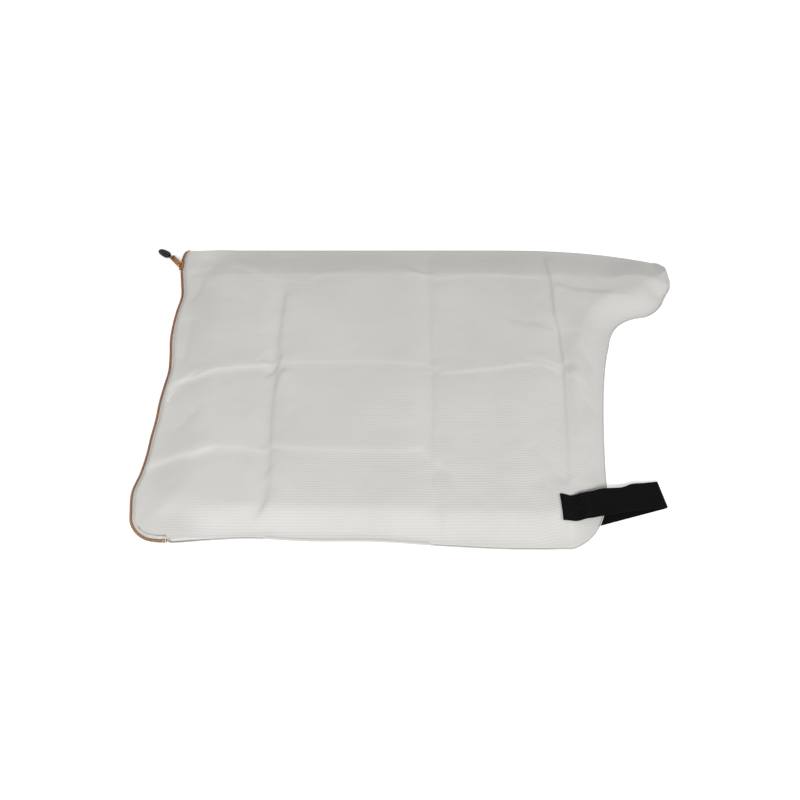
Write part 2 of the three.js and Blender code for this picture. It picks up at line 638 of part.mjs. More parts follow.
function pullerGrip() {
  const from = loopLength;
  const to = loopLength + gripLength;
  const outline = new THREE.Shape();
  outline.moveTo(-gripHalf * 0.62, from);
  outline.lineTo(gripHalf * 0.62, from);
  outline.quadraticCurveTo(gripHalf * 1.1, from + 4, gripHalf, from + 9);
  outline.quadraticCurveTo(gripHalf, to, 0, to);
  outline.quadraticCurveTo(-gripHalf, to, -gripHalf, from + 9);
  outline.quadraticCurveTo(-gripHalf * 1.1, from + 4, -gripHalf * 0.62, from);
  const bevel = gripThick * 0.3;
  const body = new THREE.ExtrudeGeometry(outline, {
    depth: gripThick - 2 * bevel,
    bevelThickness: bevel,
    bevelSize: bevel,
    bevelOffset: -bevel,
    bevelSegments: 2,
    curveSegments: 6,
  }).translate(0, 0, bevel - gripThick / 2);
  const socketHalf = cordRadius + sewGap;
  const socket = boxAt(2 * (2 * cordRadius + 0.15 + sewGap), socketDepth + 4, 2 * socketHalf, 0, from + socketDepth / 2 - 2 + sewGap, 0);
  const intoGrip = gripFrame.clone().invert().multiply(loopFrame);
  return toGeometry(toSolid(body).subtract(toSolid(socket.applyMatrix4(intoGrip))));
}
parts.add(addPart("puller_grip", pullerGrip().applyMatrix4(gripFrame), colours.black, 0.6));

// Webbing: sewn on top of the cloth, out over the right edge, folded, and back under the bag.
const ray = new THREE.Raycaster();
cloth.material.side = THREE.DoubleSide;
cloth.updateMatrixWorld(true);
function clothUnder(x, y) {
  ray.set(V3(x, y, neckCrown * 2), V3(0, 0, -1));
  const hits = ray.intersectObject(cloth);
  return hits.length ? hits[0].point.z : 0;
}
const webUpper = V2(Math.cos(degrees(webTurn)), Math.sin(degrees(webTurn)));
const loopRadius = (webLoop - webThickness) / 2; // to the webbing's middle
const halfWidths = [-1, -0.5, 0, 0.5, 1].map((k) => (k * webWidth) / 2);

function carryStrap() {
  const outside = [];
  const inside = [];
  const step = 8;
  const upperRun = webReach - loopRadius;
  for (let along = 0; along <= upperRun; along += step) {
    const straight = THREE.MathUtils.lerp(webSpanHeight, webLoop - webThickness, along / upperRun);
    const fadeIn = smooth(along / 30);
    const row = halfWidths.map((side) => {
      const x = webEnd.x + webUpper.x * along - webUpper.y * side;
      const y = webEnd.y + webUpper.y * along + webUpper.x * side;
      let rest = 0;
      for (const da of [-step, -step / 2, 0, step / 2, step])
        for (const ds of [-5, 0, 5])
          rest = Math.max(rest, clothUnder(x + webUpper.x * da - webUpper.y * ds, y + webUpper.y * da + webUpper.x * ds));
      return V3(x, y, Math.max(rest + sewGap, straight * fadeIn));
    });
    inside.push(row);
    outside.push(row.map((p) => V3(p.x, p.y, p.z + webThickness)));
  }
  const turns = 8;
  for (let i = 1; i <= turns; i++) {
    const angle = (Math.PI * i) / turns;
    const heading = degrees(THREE.MathUtils.lerp(webTurn, webUnderTurn, i / turns));
    const out = V2(Math.cos(heading), Math.sin(heading));
    const ring = (radius) =>
      halfWidths.map((side) => {
        const reach = radius * Math.sin(angle) - loopRadius;
        const x = webFold.x + out.x * reach - out.y * side;
        const y = webFold.y + out.y * reach + out.x * side;
        return V3(x, y, webLoop / 2 + radius * Math.cos(angle));
      });
    outside.push(ring(loopRadius + webThickness / 2));
    inside.push(ring(loopRadius - webThickness / 2));
  }
  const lowerSteps = 12;
  for (let i = 1; i <= lowerSteps; i++) {
    const along = loopRadius + ((webUnderLength - loopRadius) * i) / lowerSteps;
    const row = halfWidths.map((side) =>
      V3(webFold.x - webUnder.x * along - webUnder.y * side, webFold.y - webUnder.y * along + webUnder.x * side, 0),
    );
    outside.push(row);
    inside.push(row.map((p) => V3(p.x, p.y, webThickness)));
  }
  return solidBetween(outside, inside);
}
const strap = addPart("carry_strap", carryStrap(), colours.black, 0.85);
parts.add(strap);

// The bag stands with the middle of its outline at the origin.
const outline = new THREE.Box3().setFromObject(parts);
const middle = outline.getCenter(V3(0, 0, 0));
parts.position.set(-middle.x, -middle.y, -outline.min.z);
parts.updateMatrixWorld(true);

export default parts;
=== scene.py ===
import json
import math
from contextlib import contextmanager

import bpy
import numpy as np
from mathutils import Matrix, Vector, noise
from mathutils.bvhtree import BVHTree


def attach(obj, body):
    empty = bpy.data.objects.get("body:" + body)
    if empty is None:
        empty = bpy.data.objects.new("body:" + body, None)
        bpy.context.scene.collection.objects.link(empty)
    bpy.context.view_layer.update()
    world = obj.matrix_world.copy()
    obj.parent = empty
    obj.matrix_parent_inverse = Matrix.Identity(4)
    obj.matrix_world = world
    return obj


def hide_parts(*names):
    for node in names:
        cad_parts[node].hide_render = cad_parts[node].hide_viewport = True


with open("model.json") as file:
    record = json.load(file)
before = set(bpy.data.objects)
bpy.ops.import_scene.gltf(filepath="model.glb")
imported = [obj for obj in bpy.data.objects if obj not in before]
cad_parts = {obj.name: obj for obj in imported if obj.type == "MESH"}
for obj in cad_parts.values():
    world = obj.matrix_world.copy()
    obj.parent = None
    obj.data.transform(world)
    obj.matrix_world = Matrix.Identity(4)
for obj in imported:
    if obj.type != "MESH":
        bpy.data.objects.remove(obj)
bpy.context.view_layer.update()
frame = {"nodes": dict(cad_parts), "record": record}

# Camera, floor and light. The bag is seen from above its near seam, 60 degrees over the floor,
# on a plain white surface, in soft light from the front and a little sharper light from the right.
origin = np.array([-400.02, -263.68, 0])  # middle of the zip line and near seam, in the row frame
camera_height = 1.0
camera_over = np.array([384, -345])  # from the zip line and the near seam, in millimetres
camera_tilt = math.radians(30)
camera_data = bpy.data.cameras.new("camera")
camera_data.sensor_width = 36
camera_data.lens = 33.17
camera = bpy.data.objects.new("camera", camera_data)
camera.location = (*((camera_over + origin[:2]) / 1000), camera_height)
camera.rotation_euler = (camera_tilt, 0, 0)
bpy.context.scene.collection.objects.link(camera)
bpy.context.scene.camera = camera
bpy.context.scene.view_settings.view_transform = "Standard"


def new_material(name):
    """An empty material with its output, and its node tree."""
    material = bpy.data.materials.new(name)
    material.use_nodes = True
    tree = material.node_tree
    tree.nodes.clear()
    tree.nodes.new("ShaderNodeOutputMaterial")
    return material, tree


def node(tree, kind, by=None, **settings):
    """A new node. Its settings and inputs are given by name, and its second input as by."""
    made = tree.nodes.new(kind)
    if by is not None:
        made.inputs[1].default_value = by
    for key, value in settings.items():
        name = key.replace("_", " ")
        if hasattr(made, key):
            setattr(made, key, value)
        else:
            made.inputs[name].default_value = value
    return made


def wire(tree, *links):
    """Links in a node tree, each from a node's output to another node's input."""
    for source, output, target, entry in links:
        tree.links.new(source.outputs[output], target.inputs[entry])


def surfaced(tree, shader):
    """The shader joined to the material's output."""
    wire(tree, (shader, 0, tree.nodes["Material Output"], "Surface"))


def seen_directly(tree):
    """1 for rays from the camera and for reflected and refracted ones, otherwise 0."""
    path = node(tree, "ShaderNodeLightPath")
    shiny = node(tree, "ShaderNodeMath", operation="MAXIMUM")
    any_ray = node(tree, "ShaderNodeMath", operation="MAXIMUM")
    wire(
        tree,
        (path, "Is Glossy Ray", shiny, 0),
        (path, "Is Transmission Ray", shiny, 1),
        (path, "Is Camera Ray", any_ray, 0),
        (shiny, 0, any_ray, 1),
    )
    return any_ray.outputs[0]


floor_glow = 0.4
bpy.ops.object.select_all(action="DESELECT")
bpy.ops.mesh.primitive_plane_add(size=12, location=(0, 0, -0.0004))
floor = bpy.context.object
floor.name = "floor"
floor_material, tree = new_material("white_floor")
surface = node(tree, "ShaderNodeBsdfDiffuse", Color=(0.84, 0.84, 0.84, 1))
glow = node(tree, "ShaderNodeEmission", Color=(1, 1, 1, 1), Strength=floor_glow)
clear = node(tree, "ShaderNodeEmission", Strength=0.0)
lit = node(tree, "ShaderNodeMixShader")
both = node(tree, "ShaderNodeAddShader")
tree.links.new(seen_directly(tree), lit.inputs[0])
wire(
    tree,
    (clear, 0, lit, 1),
    (glow, 0, lit, 2),
    (surface, 0, both, 0),
    (lit, 0, both, 1),
)
surfaced(tree, both)
floor.data.materials.append(floor_material)

world = bpy.data.worlds.new("studio")
bpy.context.scene.world = world
world.use_nodes = True
tree = world.node_tree
sky = tree.nodes["Background"]
sky.inputs["Color"].default_value = (1, 1, 1, 1)
sky.inputs["Strength"].default_value = 0.4
backdrop = node(tree, "ShaderNodeBackground", Color=(1, 1, 1, 1), Strength=1.0)
shown = node(tree, "ShaderNodeMixShader")
tree.links.new(seen_directly(tree), shown.inputs[0])
wire(
    tree,
    (sky, 0, shown, 1),
    (backdrop, 0, shown, 2),
    (shown, 0, tree.nodes["World Output"], "Surface"),
)

lamp_data = bpy.data.lights.new("front_light", "AREA")
lamp_data.shape = "DISK"
lamp_data.size = 0.75
lamp_data.energy = 42
lamp = bpy.data.objects.new("front_light", lamp_data)
lamp.location = (-0.25, -1.75, 1.9)
lamp.rotation_euler = Vector((-0.25, -1.72, 1.9)).to_track_quat("Z", "Y").to_euler()
bpy.context.scene.collection.objects.link(lamp)
lamp_data = bpy.data.lights.new("side_light", "SUN")
lamp_data.energy = 0.95
lamp_data.angle = math.radians(22)
lamp = bpy.data.objects.new("side_light", lamp_data)
lamp.rotation_euler = (math.radians(56), 0, math.radians(72))
bpy.context.scene.collection.objects.link(lamp)

# Bag cloth: one ribbed polyester cloth, folded at the far edge and sewn along the near and right
# edges, with the neck cut in one with it. It still shows the folds that it was packed in.


def row(points):
    """Places measured from the zip line and the near seam, in millimetres, in the row frame."""
    return (np.asarray(points, float) + origin) / 1000


def smooth(t):
    """An ease from 0 to 1."""
    t = np.clip(t, 0, 1)
    return t * t * (3 - 2 * t)


def lerp(a, b, t):
    """A value a share t of the way from a to b."""
    return a + (b - a) * t


def gone_along(path):
    """How far along a path each of its points is."""
    return np.concatenate([[0], np.cumsum(np.linalg.norm(np.diff(path, axis=0), axis=1))])


def read_off(at, places, table):
    """Each column of a table, read off between the places of its rows."""
    return np.column_stack([np.interp(at, places, column) for column in table.T])


def unit(vectors):
    """The vectors with their length made 1."""
    return vectors / np.linalg.norm(vectors, axis=-1)[..., None]


body_length, body_width = 684, 536.5
edge_lean = 39
cut_length, cut_height = 59, 80
shoulder_height, shoulder_reach = 332, 69
neck_height, neck_length = 393, 123
mouth_height, mouth_width = 433, 69
mouth_bulge, mouth_near_cut, mouth_far_cut = 13, 14, 18
far_drop = body_width - mouth_height - mouth_width
drop_start = 0.64
near_wave = [(165, 7.6), (255, 3.4), (350, 2.8), (440, -3.2), (530, -7.9)]
near_sag = 8.4
foot_reach = 9
corner_radius, far_corner = 44, 11
zip_sway = [6, 6, 11, 15.5, 12, 10, 10.5, 14.5, 17, 14, 11.5, 11, 8.5, 7, 3, -4, -1]
zip_start, zip_overrun = 17, 12
reveal = 6.6
length = body_length + edge_lean + neck_length


def catmull(points, samples):
    """A centripetal Catmull-Rom curve through the points, at equal steps of its length."""
    p = np.array(points, float)
    p = np.vstack([2 * p[0] - p[1], p, 2 * p[-1] - p[-2]])
    run = []
    for k in range(1, len(p) - 2):
        d0, d1, d2 = (np.linalg.norm(p[k + i] - p[k + i - 1]) ** 0.5 for i in (0, 1, 2))
        m1 = (p[k] - p[k - 1]) / d0 - (p[k + 1] - p[k - 1]) / (d0 + d1) + (p[k + 1] - p[k]) / d1
        m2 = (p[k + 1] - p[k]) / d1 - (p[k + 2] - p[k]) / (d1 + d2) + (p[k + 2] - p[k + 1]) / d2
        m1, m2 = m1 * d1, m2 * d1
        t = np.linspace(0, 1, 40, endpoint=False)[:, None]
        a, b = p[k], p[k + 1]
        square, cube = -3 * a + 3 * b - 2 * m1 - m2, 2 * a - 2 * b + m1 + m2
        run.append(a + m1 * t + square * t**2 + cube * t**3)
    run = np.vstack([*run, p[-2]])
    travelled = gone_along(run)
    return read_off(np.linspace(0, travelled[-1], samples), travelled, run), travelled[-1]


far_end = body_width - zip_start
zip_points = [(far_corner + zip_sway[0] - 2, body_width - 5)]
zip_points.append((zip_sway[0] + far_corner * 0.3, body_width - 7.5))
for k, sway in enumerate(zip_sway):
    zip_points.append((sway, lerp(far_end, corner_radius, k / (len(zip_sway) - 1))))
near_turns = (202, 225, 248, 270)  # degrees round the near corner
for turn in near_turns:
    angle = math.radians(turn)
    reach = corner_radius - zip_sway[-1]
    height = corner_radius * (1 + math.sin(angle))
    zip_points.append((corner_radius + reach * math.cos(angle), height))
zip_points.append((corner_radius + zip_overrun, 0))
zip_samples = 1201
zip_line, zip_length = catmull(zip_points, zip_samples)
zip_along = unit(np.gradient(zip_line, axis=0))
zip_share = np.linspace(0, 1, zip_samples)


def beside_zip(share, inwards):
    """Places beside the zip: along it from 0 at the far corner to 1, and inwards from it."""
    at = read_off(share, zip_share, zip_line)
    along = read_off(share, zip_share, zip_along)
    across = np.column_stack([-along[:, 1], along[:, 0]])
    return at + across * np.reshape(inwards, (-1, 1))


def bend(a, b, c, t):
    """Places on the bend from a to c that heads for b at first."""
    t = np.reshape(t, (-1, 1))
    return (1 - t) ** 2 * np.array(a) + 2 * t * (1 - t) * np.array(b) + t**2 * np.array(c)


def wave_through(points, t):
    """A smooth curve through the points, each stretch taking an equal share of t."""
    p = np.array(points, float)
    place = np.clip(t * (len(p) - 1), 0, len(p) - 1.000001)
    k = place.astype(int)
    w = (place - k)[:, None]
    before, after = p[np.maximum(k - 1, 0)], p[np.minimum(k + 2, len(p) - 1)]
    a, b = p[k], p[k + 1]
    v0, v1 = (b - before) / 2, (after - a) / 2
    return (2 * a - 2 * b + v0 + v1) * w**3 + (-3 * a + 3 * b - 2 * v0 - v1) * w**2 + v0 * w + a


zip_foot = beside_zip([1], [reveal])[0]
zip_head = beside_zip([0], [reveal])[0]
seam_start = np.array([zip_foot[0] + foot_reach, foot_reach * 0.1])
corner_start = np.array([body_length - cut_length, -near_sag])
right_foot = np.array([body_length, cut_height])
shoulder = np.array([body_length + edge_lean, shoulder_height])
neck_foot = np.array([shoulder[0] + shoulder_reach, neck_height])
mouth_near = np.array([length - mouth_near_cut, mouth_height])
edge_steps = np.linspace(0, 1, 121)
side_lean = (body_length + edge_lean * 0.38, shoulder_height * 0.8)
near_pieces = [
    lambda t: bend(zip_foot, (zip_foot[0] + 1.2, 1.2), seam_start, t),
    lambda t: wave_through([seam_start, *near_wave, corner_start], t),
    lambda t: bend(corner_start, (body_length - 10, 6), right_foot, t),
    lambda t: bend(right_foot, side_lean, shoulder, t),
    lambda t: bend(shoulder, (shoulder[0] + 10, neck_height - 6), neck_foot, t),
    lambda t: bend(neck_foot, (neck_foot[0] + 26, neck_height + 8), mouth_near, t),
]
far_stops = [zip_head[0], zip_head[0] + foot_reach]
far_stops += [body_length - 1.6 * cut_length, body_length - 0.9 * cut_length]
far_stops += [shoulder[0] + 8, neck_foot[0], length - mouth_far_cut]
piece_steps = [edge_steps] + [edge_steps[1:]] * (len(near_pieces) - 1)
near_line = np.vstack([curve(steps) for curve, steps in zip(near_pieces, piece_steps)])
far_x = np.concatenate([lerp(*far_stops[k : k + 2], steps) for k, steps in enumerate(piece_steps)])

# Closer rows of points where the three long folds are
middle_x = (near_line[:, 0] + far_x) / 2
fold_places = (190, 435, 640)
crowding = 1 + 1.5 * sum(np.exp(-(((middle_x - fold) / 15) ** 2)) for fold in fold_places)
crowding = crowding + 0.8 * smooth((middle_x - neck_foot[0]) / 40)
edge_paces = np.linalg.norm(np.diff(near_line, axis=0), axis=1)
paces = np.hypot(np.diff(middle_x), 0.4 * edge_paces) * crowding[1:]
walked = np.concatenate([[0], np.cumsum(paces)])
stations = 300
picked = np.interp(np.linspace(0, walked[-1], stations), walked, np.arange(len(walked)))
near_line = read_off(picked, np.arange(len(walked)), near_line)
far_x = np.interp(picked, np.arange(len(walked)), far_x)
falling = np.clip((far_x - length * drop_start) / (length * (1 - drop_start)), 0, None)
far_y = body_width - far_drop * falling**2.6
zip_flat, ramp_left = 11, 62
far_y = lerp(zip_head[1], far_y, smooth((far_x - zip_head[0] - zip_flat) / ramp_left))
far_line = np.column_stack([far_x, far_y])

web_width, web_thickness = 40, 1.6
web_end = np.array([615.5, 46])
web_reach, web_turn, web_under_turn = 151, math.radians(9.5), math.radians(15)
web_under_length, web_pocket = 150, 34
web_seat, web_shoulder = 0.3, 9
web_fold = web_end + web_reach * np.array([math.cos(web_turn), math.sin(web_turn)])
web_under = np.array([math.cos(web_under_turn), math.sin(web_under_turn)])


def web_lift(x, y):
    """How far the cloth is lifted by the webbing that runs under it."""
    back_x, back_y = web_fold[0] - x, web_fold[1] - y
    along = back_x * web_under[0] + back_y * web_under[1]
    side = np.abs(back_x * web_under[1] - back_y * web_under[0])
    past = np.maximum(0, np.maximum(along - web_under_length, side - web_width / 2))
    lifted = smooth((web_pocket - np.maximum(0, past - web_shoulder)) / web_pocket)
    return (web_thickness + web_seat) * lifted


def nearest(line, x, y):
    """Distance of each place from a line, its side of it, and how far the line's ends are."""
    line = np.asarray(line, float)
    lengths = np.linalg.norm(np.diff(line, axis=0), axis=1)
    best = np.full(x.shape, 1e9)
    side = np.ones(x.shape)
    inside = np.zeros(x.shape)
    gone = 0
    for a, b, size in zip(line[:-1], line[1:], lengths):
        d = (b - a) / max(size, 1e-9)
        t = np.clip((x - a[0]) * d[0] + (y - a[1]) * d[1], 0, size)
        dx, dy = x - a[0] - t * d[0], y - a[1] - t * d[1]
        gap = np.hypot(dx, dy)
        closer = gap < best
        best = np.where(closer, gap, best)
        side = np.where(closer, np.sign(d[0] * dy - d[1] * dx), side)
        inside = np.where(closer, np.minimum(gone + t, lengths.sum() - gone - t), inside)
        gone += size
    return best, side, inside


seam_height = 2.2
body_crown, neck_crown, mouth_crown = 19, 23, 15
ramp_near, ramp_far, ramp_right = 46, 66, 52
zip_mouth = 13.2
cloth_wall = 0.8
fold_lines, fold_depth = (0.27, 0.637), 1.6
neck_ease, mouth_ease, far_ease, crease_ease = 70, 0.55, 0.35, 1.6
near_most, far_most = 0.34, 0.4  # the share of the bag's width that each edge's ramp may take
flap_line, flap_depth, fold_spread = 0.94, 5.5, 17

# Each fold or wrinkle: its line, the depth of its valley, its width, and how far the left side of
# its direction stands over the other. A ridge has a negative depth.
long_folds = [
    ([(194, 434), (192, 402), (191, 359), (190, 325), (189, 288)], -0.5, 3.4, 1.4),
    ([(192, 281), (190, 242), (191, 181), (193, 137)], -0.5, 4, 1.6),
    ([(193, 138), (197, 80), (191, 50), (181, 34), (178, 11)], -0.3, 4, 1.1),
    ([(437, 527), (436, 471), (437, 420), (435, 310), (437, 275)], -0.2, 3.2, 0.7),
    ([(437, 275), (437, 207), (431, 139), (437, 114)], -0.2, 4, 1.1),
    ([(431, 105), (431, 72), (438, 55), (447, 2)], 0.4, 3.4, 0.6),
    ([(637, 526), (641, 456), (640, 384), (645, 354), (645, 289)], -1.7, 3.2, 1.6),
    ([(645, 289), (638, 188), (636, 160), (631, 81)], -1.2, 4, 2.2),
    ([(629, 40), (622, 24), (624, -6)], -1.0, 3, 1.4),
    ([(77, 512), (113, 487), (152, 461), (212, 456), (227, 454), (255, 473),
      (294, 475), (382, 478)], -0.5, 4, 0.2),
    ([(382, 478), (436, 468), (452, 461), (494, 468), (542, 468),
      (621, 463), (639, 447)], -0.7, 3.4, 0.4),
    ([(642, 447), (669, 435), (713, 429), (768, 423), (785, 411)], -1.6, 5, -1.0),
    ([(15, 239), (22, 246), (37, 259), (68, 268), (97, 278), (135, 283),
      (184, 288)], -1.0, 3.6, 1.5),
    ([(203, 291), (343, 294), (397, 290), (432, 287)], -0.35, 3, 0.5),
    ([(432, 287), (447, 273), (471, 273), (530, 280), (581, 289),
      (607, 289), (645, 275)], -0.8, 2.8, 0.7),
    ([(645, 275), (674, 262), (704, 244)], -2.4, 3, 0.8),
    ([(4, 105), (24, 117), (61, 129), (76, 131), (111, 143)], -0.7, 4, 1.6),
    ([(76, 131), (111, 143), (150, 141), (192, 135)], -0.5, 3.4, 0.7),
    ([(202, 141), (384, 134), (418, 139), (437, 114), (464, 101)], -0.35, 4, 0.8),
]
wrinkles = [
    ([(556, 389), (566, 373), (600, 366), (639, 358)], 0.9, 2.8, -0.6),
    ([(649, 360), (682, 358), (717, 346)], -0.9, 3.4, 0.5),
    ([(575, 321), (582, 296), (612, 292), (645, 285)], 0.8, 3, 0.4),
    ([(666, 325), (693, 282)], 2.0, 9, 0),
    ([(668, 230), (685, 201)], 1.4, 6, 0),
    ([(657, 120), (684, 129)], -0.8, 3.5, 0.5),
    ([(83, 218), (42, 166)], 1.0, 6, 0.3),
    ([(36, 246), (18, 218)], 1.1, 3, -0.8),
    ([(58, 97), (54, 75)], 0.8, 2.6, 0),
    ([(194, 58), (178, 34)], 0.9, 2.8, 0.8),
    ([(202, 117), (181, 92)], 0.7, 2.8, 0.6),
    ([(575, 150), (600, 118), (626, 81)], 1.2, 10, 0),
    ([(437, 114), (498, 58), (550, 7)], 0.7, 7, 0),
    ([(560, 69), (590, 32), (611, 3)], 1.1, 6, 0),
    ([(464, 101), (500, 96), (540, 80)], 0.3, 4, 0.2),
    ([(12, 35), (22, 50)], 0.9, 3, 0.4),
    ([(58, 492), (67, 473)], 1.3, 3.4, 1.0),
    ([(26, 469), (39, 484)], 1.3, 3.6, 0.8),
    ([(48, 467), (45, 439), (33, 413)], 1.4, 4.4, 0.6),
    ([(40, 385), (40, 340), (38, 292)], 1.6, 10, 0.5),
    ([(69, 277), (52, 264), (35, 248)], 0.9, 2.8, -0.5),
    ([(187, 317), (194, 305), (188, 281), (172, 262)], 1.2, 3.2, 1.0),
    ([(193, 317), (205, 311)], 0.7, 2.4, 0),
    ([(204, 285), (194, 268), (189, 237)], 0.7, 2.6, 0.8),
    ([(154, 287), (173, 309), (187, 315)], 0.5, 2.6, 0.3),
    ([(160, 292), (188, 298)], 0.5, 2.4, 0),
    ([(94, 498), (120, 480), (141, 473), (156, 456)], 0.8, 3.4, 0.7),
    ([(111, 495), (129, 471)], 0.8, 3.2, 0.5),
    ([(381, 504), (406, 484), (434, 471)], 1.0, 3.6, -0.9),
    ([(434, 498), (449, 471)], 0.5, 2.8, 0.4),
    ([(668, 415), (700, 398), (746, 384)], 0.6, 4, 0.3),
    ([(652, 430), (664, 438)], 0.7, 2.4, 0.3),
    ([(700, 470), (724, 455), (748, 446)], 0.4, 6, 0),
    ([(790, 440), (815, 452), (838, 448)], 0.25, 4, 0),
    ([(640, 500), (655, 485)], 0.8, 4, 0),
]
fade_start, fade_length, step_reach = 4, 16, 6
seam_grooves = [
    ([(163, 13), (189, 16), (243, 14.5), (300, 12.5), (360, 11), (395, 8)], 1.0, 1.5, 0),
    ([(380, 9), (410, 6), (450, 1)], 0.8, 1.5, 0),
    ([(60, 7), (110, 9), (163, 13)], 0.3, 1.5, 0),
]


def creases(height, x, y, lines, share):
    """The height with each fold's valley or ridge, and the step between its sides."""
    for line, depth, spread, step in lines:
        gap, side, inside = nearest(line, x, y)
        fade = share * smooth((inside + fade_start) / fade_length)
        height = height - fade * depth * np.exp(-gap / spread)
        far_off = np.exp(-((gap / (step_reach * spread)) ** 2))
        stepped = side * (1 - np.exp(-gap / spread)) * far_off
        height = height + fade * step * stepped
    return height


def cloth_top(x, y, width, near_gap, far_gap):
    """Height of the cloth's outside over the floor."""
    into_neck = smooth((x - body_length - edge_lean * 0.4) / neck_ease)
    to_mouth = smooth((length - x) / (neck_length * mouth_ease))
    crown = lerp(mouth_crown, lerp(body_crown, neck_crown, into_neck), to_mouth)
    for fold in fold_lines:
        crown = crown - fold_depth * np.exp(-(((x - fold * body_length) / fold_spread) ** 2))
    flap_fade = 1 - smooth((y - shoulder_height) / (neck_height - shoulder_height))
    flap_fold = np.exp(-(((x - flap_line * body_length) / fold_spread) ** 2))
    crown = crown - flap_depth * flap_fade * flap_fold
    near = np.minimum(lerp(ramp_near, ramp_right, smooth(x / body_length)), width * near_most)
    far = np.minimum(ramp_far, width * far_most)
    far_rise = np.clip(far_gap / far, 0, 1)
    rise = smooth(near_gap / near) * lerp(far_rise, smooth(far_rise), far_ease)
    from_zip = smooth((nearest(zip_line[::24], x, y)[0] - reveal - zip_flat) / ramp_left)
    edge = lerp(zip_mouth, seam_height, from_zip)
    middle = lerp(zip_mouth, crown, from_zip)
    height = edge + (middle - edge) * rise
    height = creases(height, x, y, long_folds, smooth(rise * crease_ease))
    height = creases(height, x, y, wrinkles, smooth(rise * crease_ease))
    return creases(height, x, y, seam_grooves, 1.0)


def ripple(x, y, size, stretch, seed):
    """Smooth noise over the cloth, from -1 to 1, longer along X by the stretch."""
    places = zip(x.ravel(), y.ravel())
    values = [noise.noise((a / (size * stretch), b / size, seed)) for a, b in places]
    return np.array(values).reshape(x.shape)


top_steps, bottom_steps = 142, 14
share_run = np.linspace(0, 1, 2001)
cross_folds = (0.25, 0.53, 0.86)
crowding = 1 + 1.2 * sum(np.exp(-(((share_run - fold) / 0.03) ** 2)) for fold in cross_folds)
crowding = crowding + 1.6 * np.exp(-share_run / 0.02) + 1.0 * np.exp((share_run - 1) / 0.02)
walked = np.concatenate([[0], np.cumsum(crowding[1:])])
top_shares = np.interp(np.linspace(0, walked[-1], top_steps + 1), walked, share_run)
across = np.concatenate([top_shares, np.linspace(1, 0, bottom_steps + 1)])
on_top = np.arange(len(across)) <= top_steps
t = across[None, :]
place = near_line[:, None, :] * (1 - t[..., None]) + far_line[:, None, :] * t[..., None]
to_zip = ((near_line + far_line) / 2 - (near_line[0] + far_line[0]) / 2)[:, 0]
sway_reach = 90  # how far into the bag its rows follow the zip's waves
sway_share = (1 - smooth(to_zip / sway_reach))[:, None, None]
first_chord = near_line[0] * (1 - across[:, None]) + far_line[0] * across[:, None]
zip_edge = beside_zip(1 - across, np.full(len(across), reveal))
place = place + sway_share * (zip_edge - first_chord)[None]
bulge_share = smooth(1 - (length - far_line[:, 0]) / neck_length)[:, None]
x = place[..., 0] + mouth_bulge * bulge_share * (1 - (2 * t - 1) ** 4)
y = place[..., 1]
width = np.linalg.norm(near_line - far_line, axis=1)[:, None] * np.ones_like(t)
near_gap = nearest(near_line[::3], x, y)[0]
far_gap = nearest(far_line[::3], x, y)[0]
lift = web_lift(x, y)
top = cloth_top(x, y, width, near_gap, far_gap) + lift
broad_ripple, fine_ripple, ripple_edge = 0.9, 0.35, 30
inner = smooth(np.minimum(near_gap, far_gap) / ripple_edge)
ripples = broad_ripple * ripple(x, y, 60, 1.5, 3) + fine_ripple * ripple(x, y, 18, 1.6, 8)
top = top + inner * ripples
mouth_gap = near_line[-1][0] - x + mouth_bulge
gather_count, gather_reach, gather_ends = 7, 22, 0.1
gathers = np.sin(t * 2 * math.pi * gather_count + 2.2 * np.sin(t * 9))
gathers = gathers * np.exp(-mouth_gap / gather_reach)
gathers = gathers * smooth(t / gather_ends) * smooth((1 - t) / gather_ends)
hem_reach, hem_width, hem_dent, gather_height = 7.5, 1.8, 1.3, 0.2
hem_line = np.exp(-(((mouth_gap - hem_reach) / hem_width) ** 2))
top = top + gather_height * gathers * bulge_share - hem_dent * hem_line * bulge_share
z = np.where(on_top[None, :], top, lift)

ring = np.arange(len(across) + 1) % len(across)
grid = np.stack([x[:, ring], y[:, ring], z[:, ring]], axis=-1)
weld = 0.00001  # corners closer than this become one, in metres


def corner_points(piece):
    """Places of the piece's corners, in metres."""
    flat = np.empty(len(piece.data.vertices) * 3)
    piece.data.vertices.foreach_get("co", flat)
    return flat.reshape(-1, 3)


def new_grid(name, rows, columns):
    """A flat grid of corners, with the row and column of each."""
    bpy.ops.object.select_all(action="DESELECT")
    bpy.ops.mesh.primitive_grid_add(x_subdivisions=rows - 1, y_subdivisions=columns - 1, size=2)
    piece = bpy.context.object
    piece.name = name
    flat = corner_points(piece)[:, :2]
    share = (flat - flat.min(axis=0)) / np.ptp(flat, axis=0)
    places = np.rint(share * (rows - 1, columns - 1)).astype(int)
    return piece, places[:, 0], places[:, 1]


@contextmanager
def whole_mesh():
    """Edit mode with all of the active piece picked, for the mesh tools used inside it."""
    bpy.ops.object.mode_set(mode="EDIT")
    bpy.ops.mesh.select_all(action="SELECT")
    yield
    bpy.ops.object.mode_set(mode="OBJECT")


def thicken(piece, wall, offset):
    """The sheet with a wall in millimetres: on its inside at -1, or half on each side at 0."""
    solid = piece.modifiers.new("wall", "SOLIDIFY")
    solid.thickness = wall / 1000
    solid.offset = offset
    bpy.ops.object.modifier_apply(modifier="wall")


def set_map(piece, u, v):
    """The piece's UV map, from a value for each corner point."""
    loops = np.empty(len(piece.data.loops), int)
    piece.data.loops.foreach_get("vertex_index", loops)
    piece.data.uv_layers[0].data.foreach_set("uv", np.column_stack([u, v])[loops].ravel())


bag, i, j = new_grid("ribbed_cloth", stations, len(across) + 1)
bag.data.vertices.foreach_set("co", row(grid[i, j]).ravel())
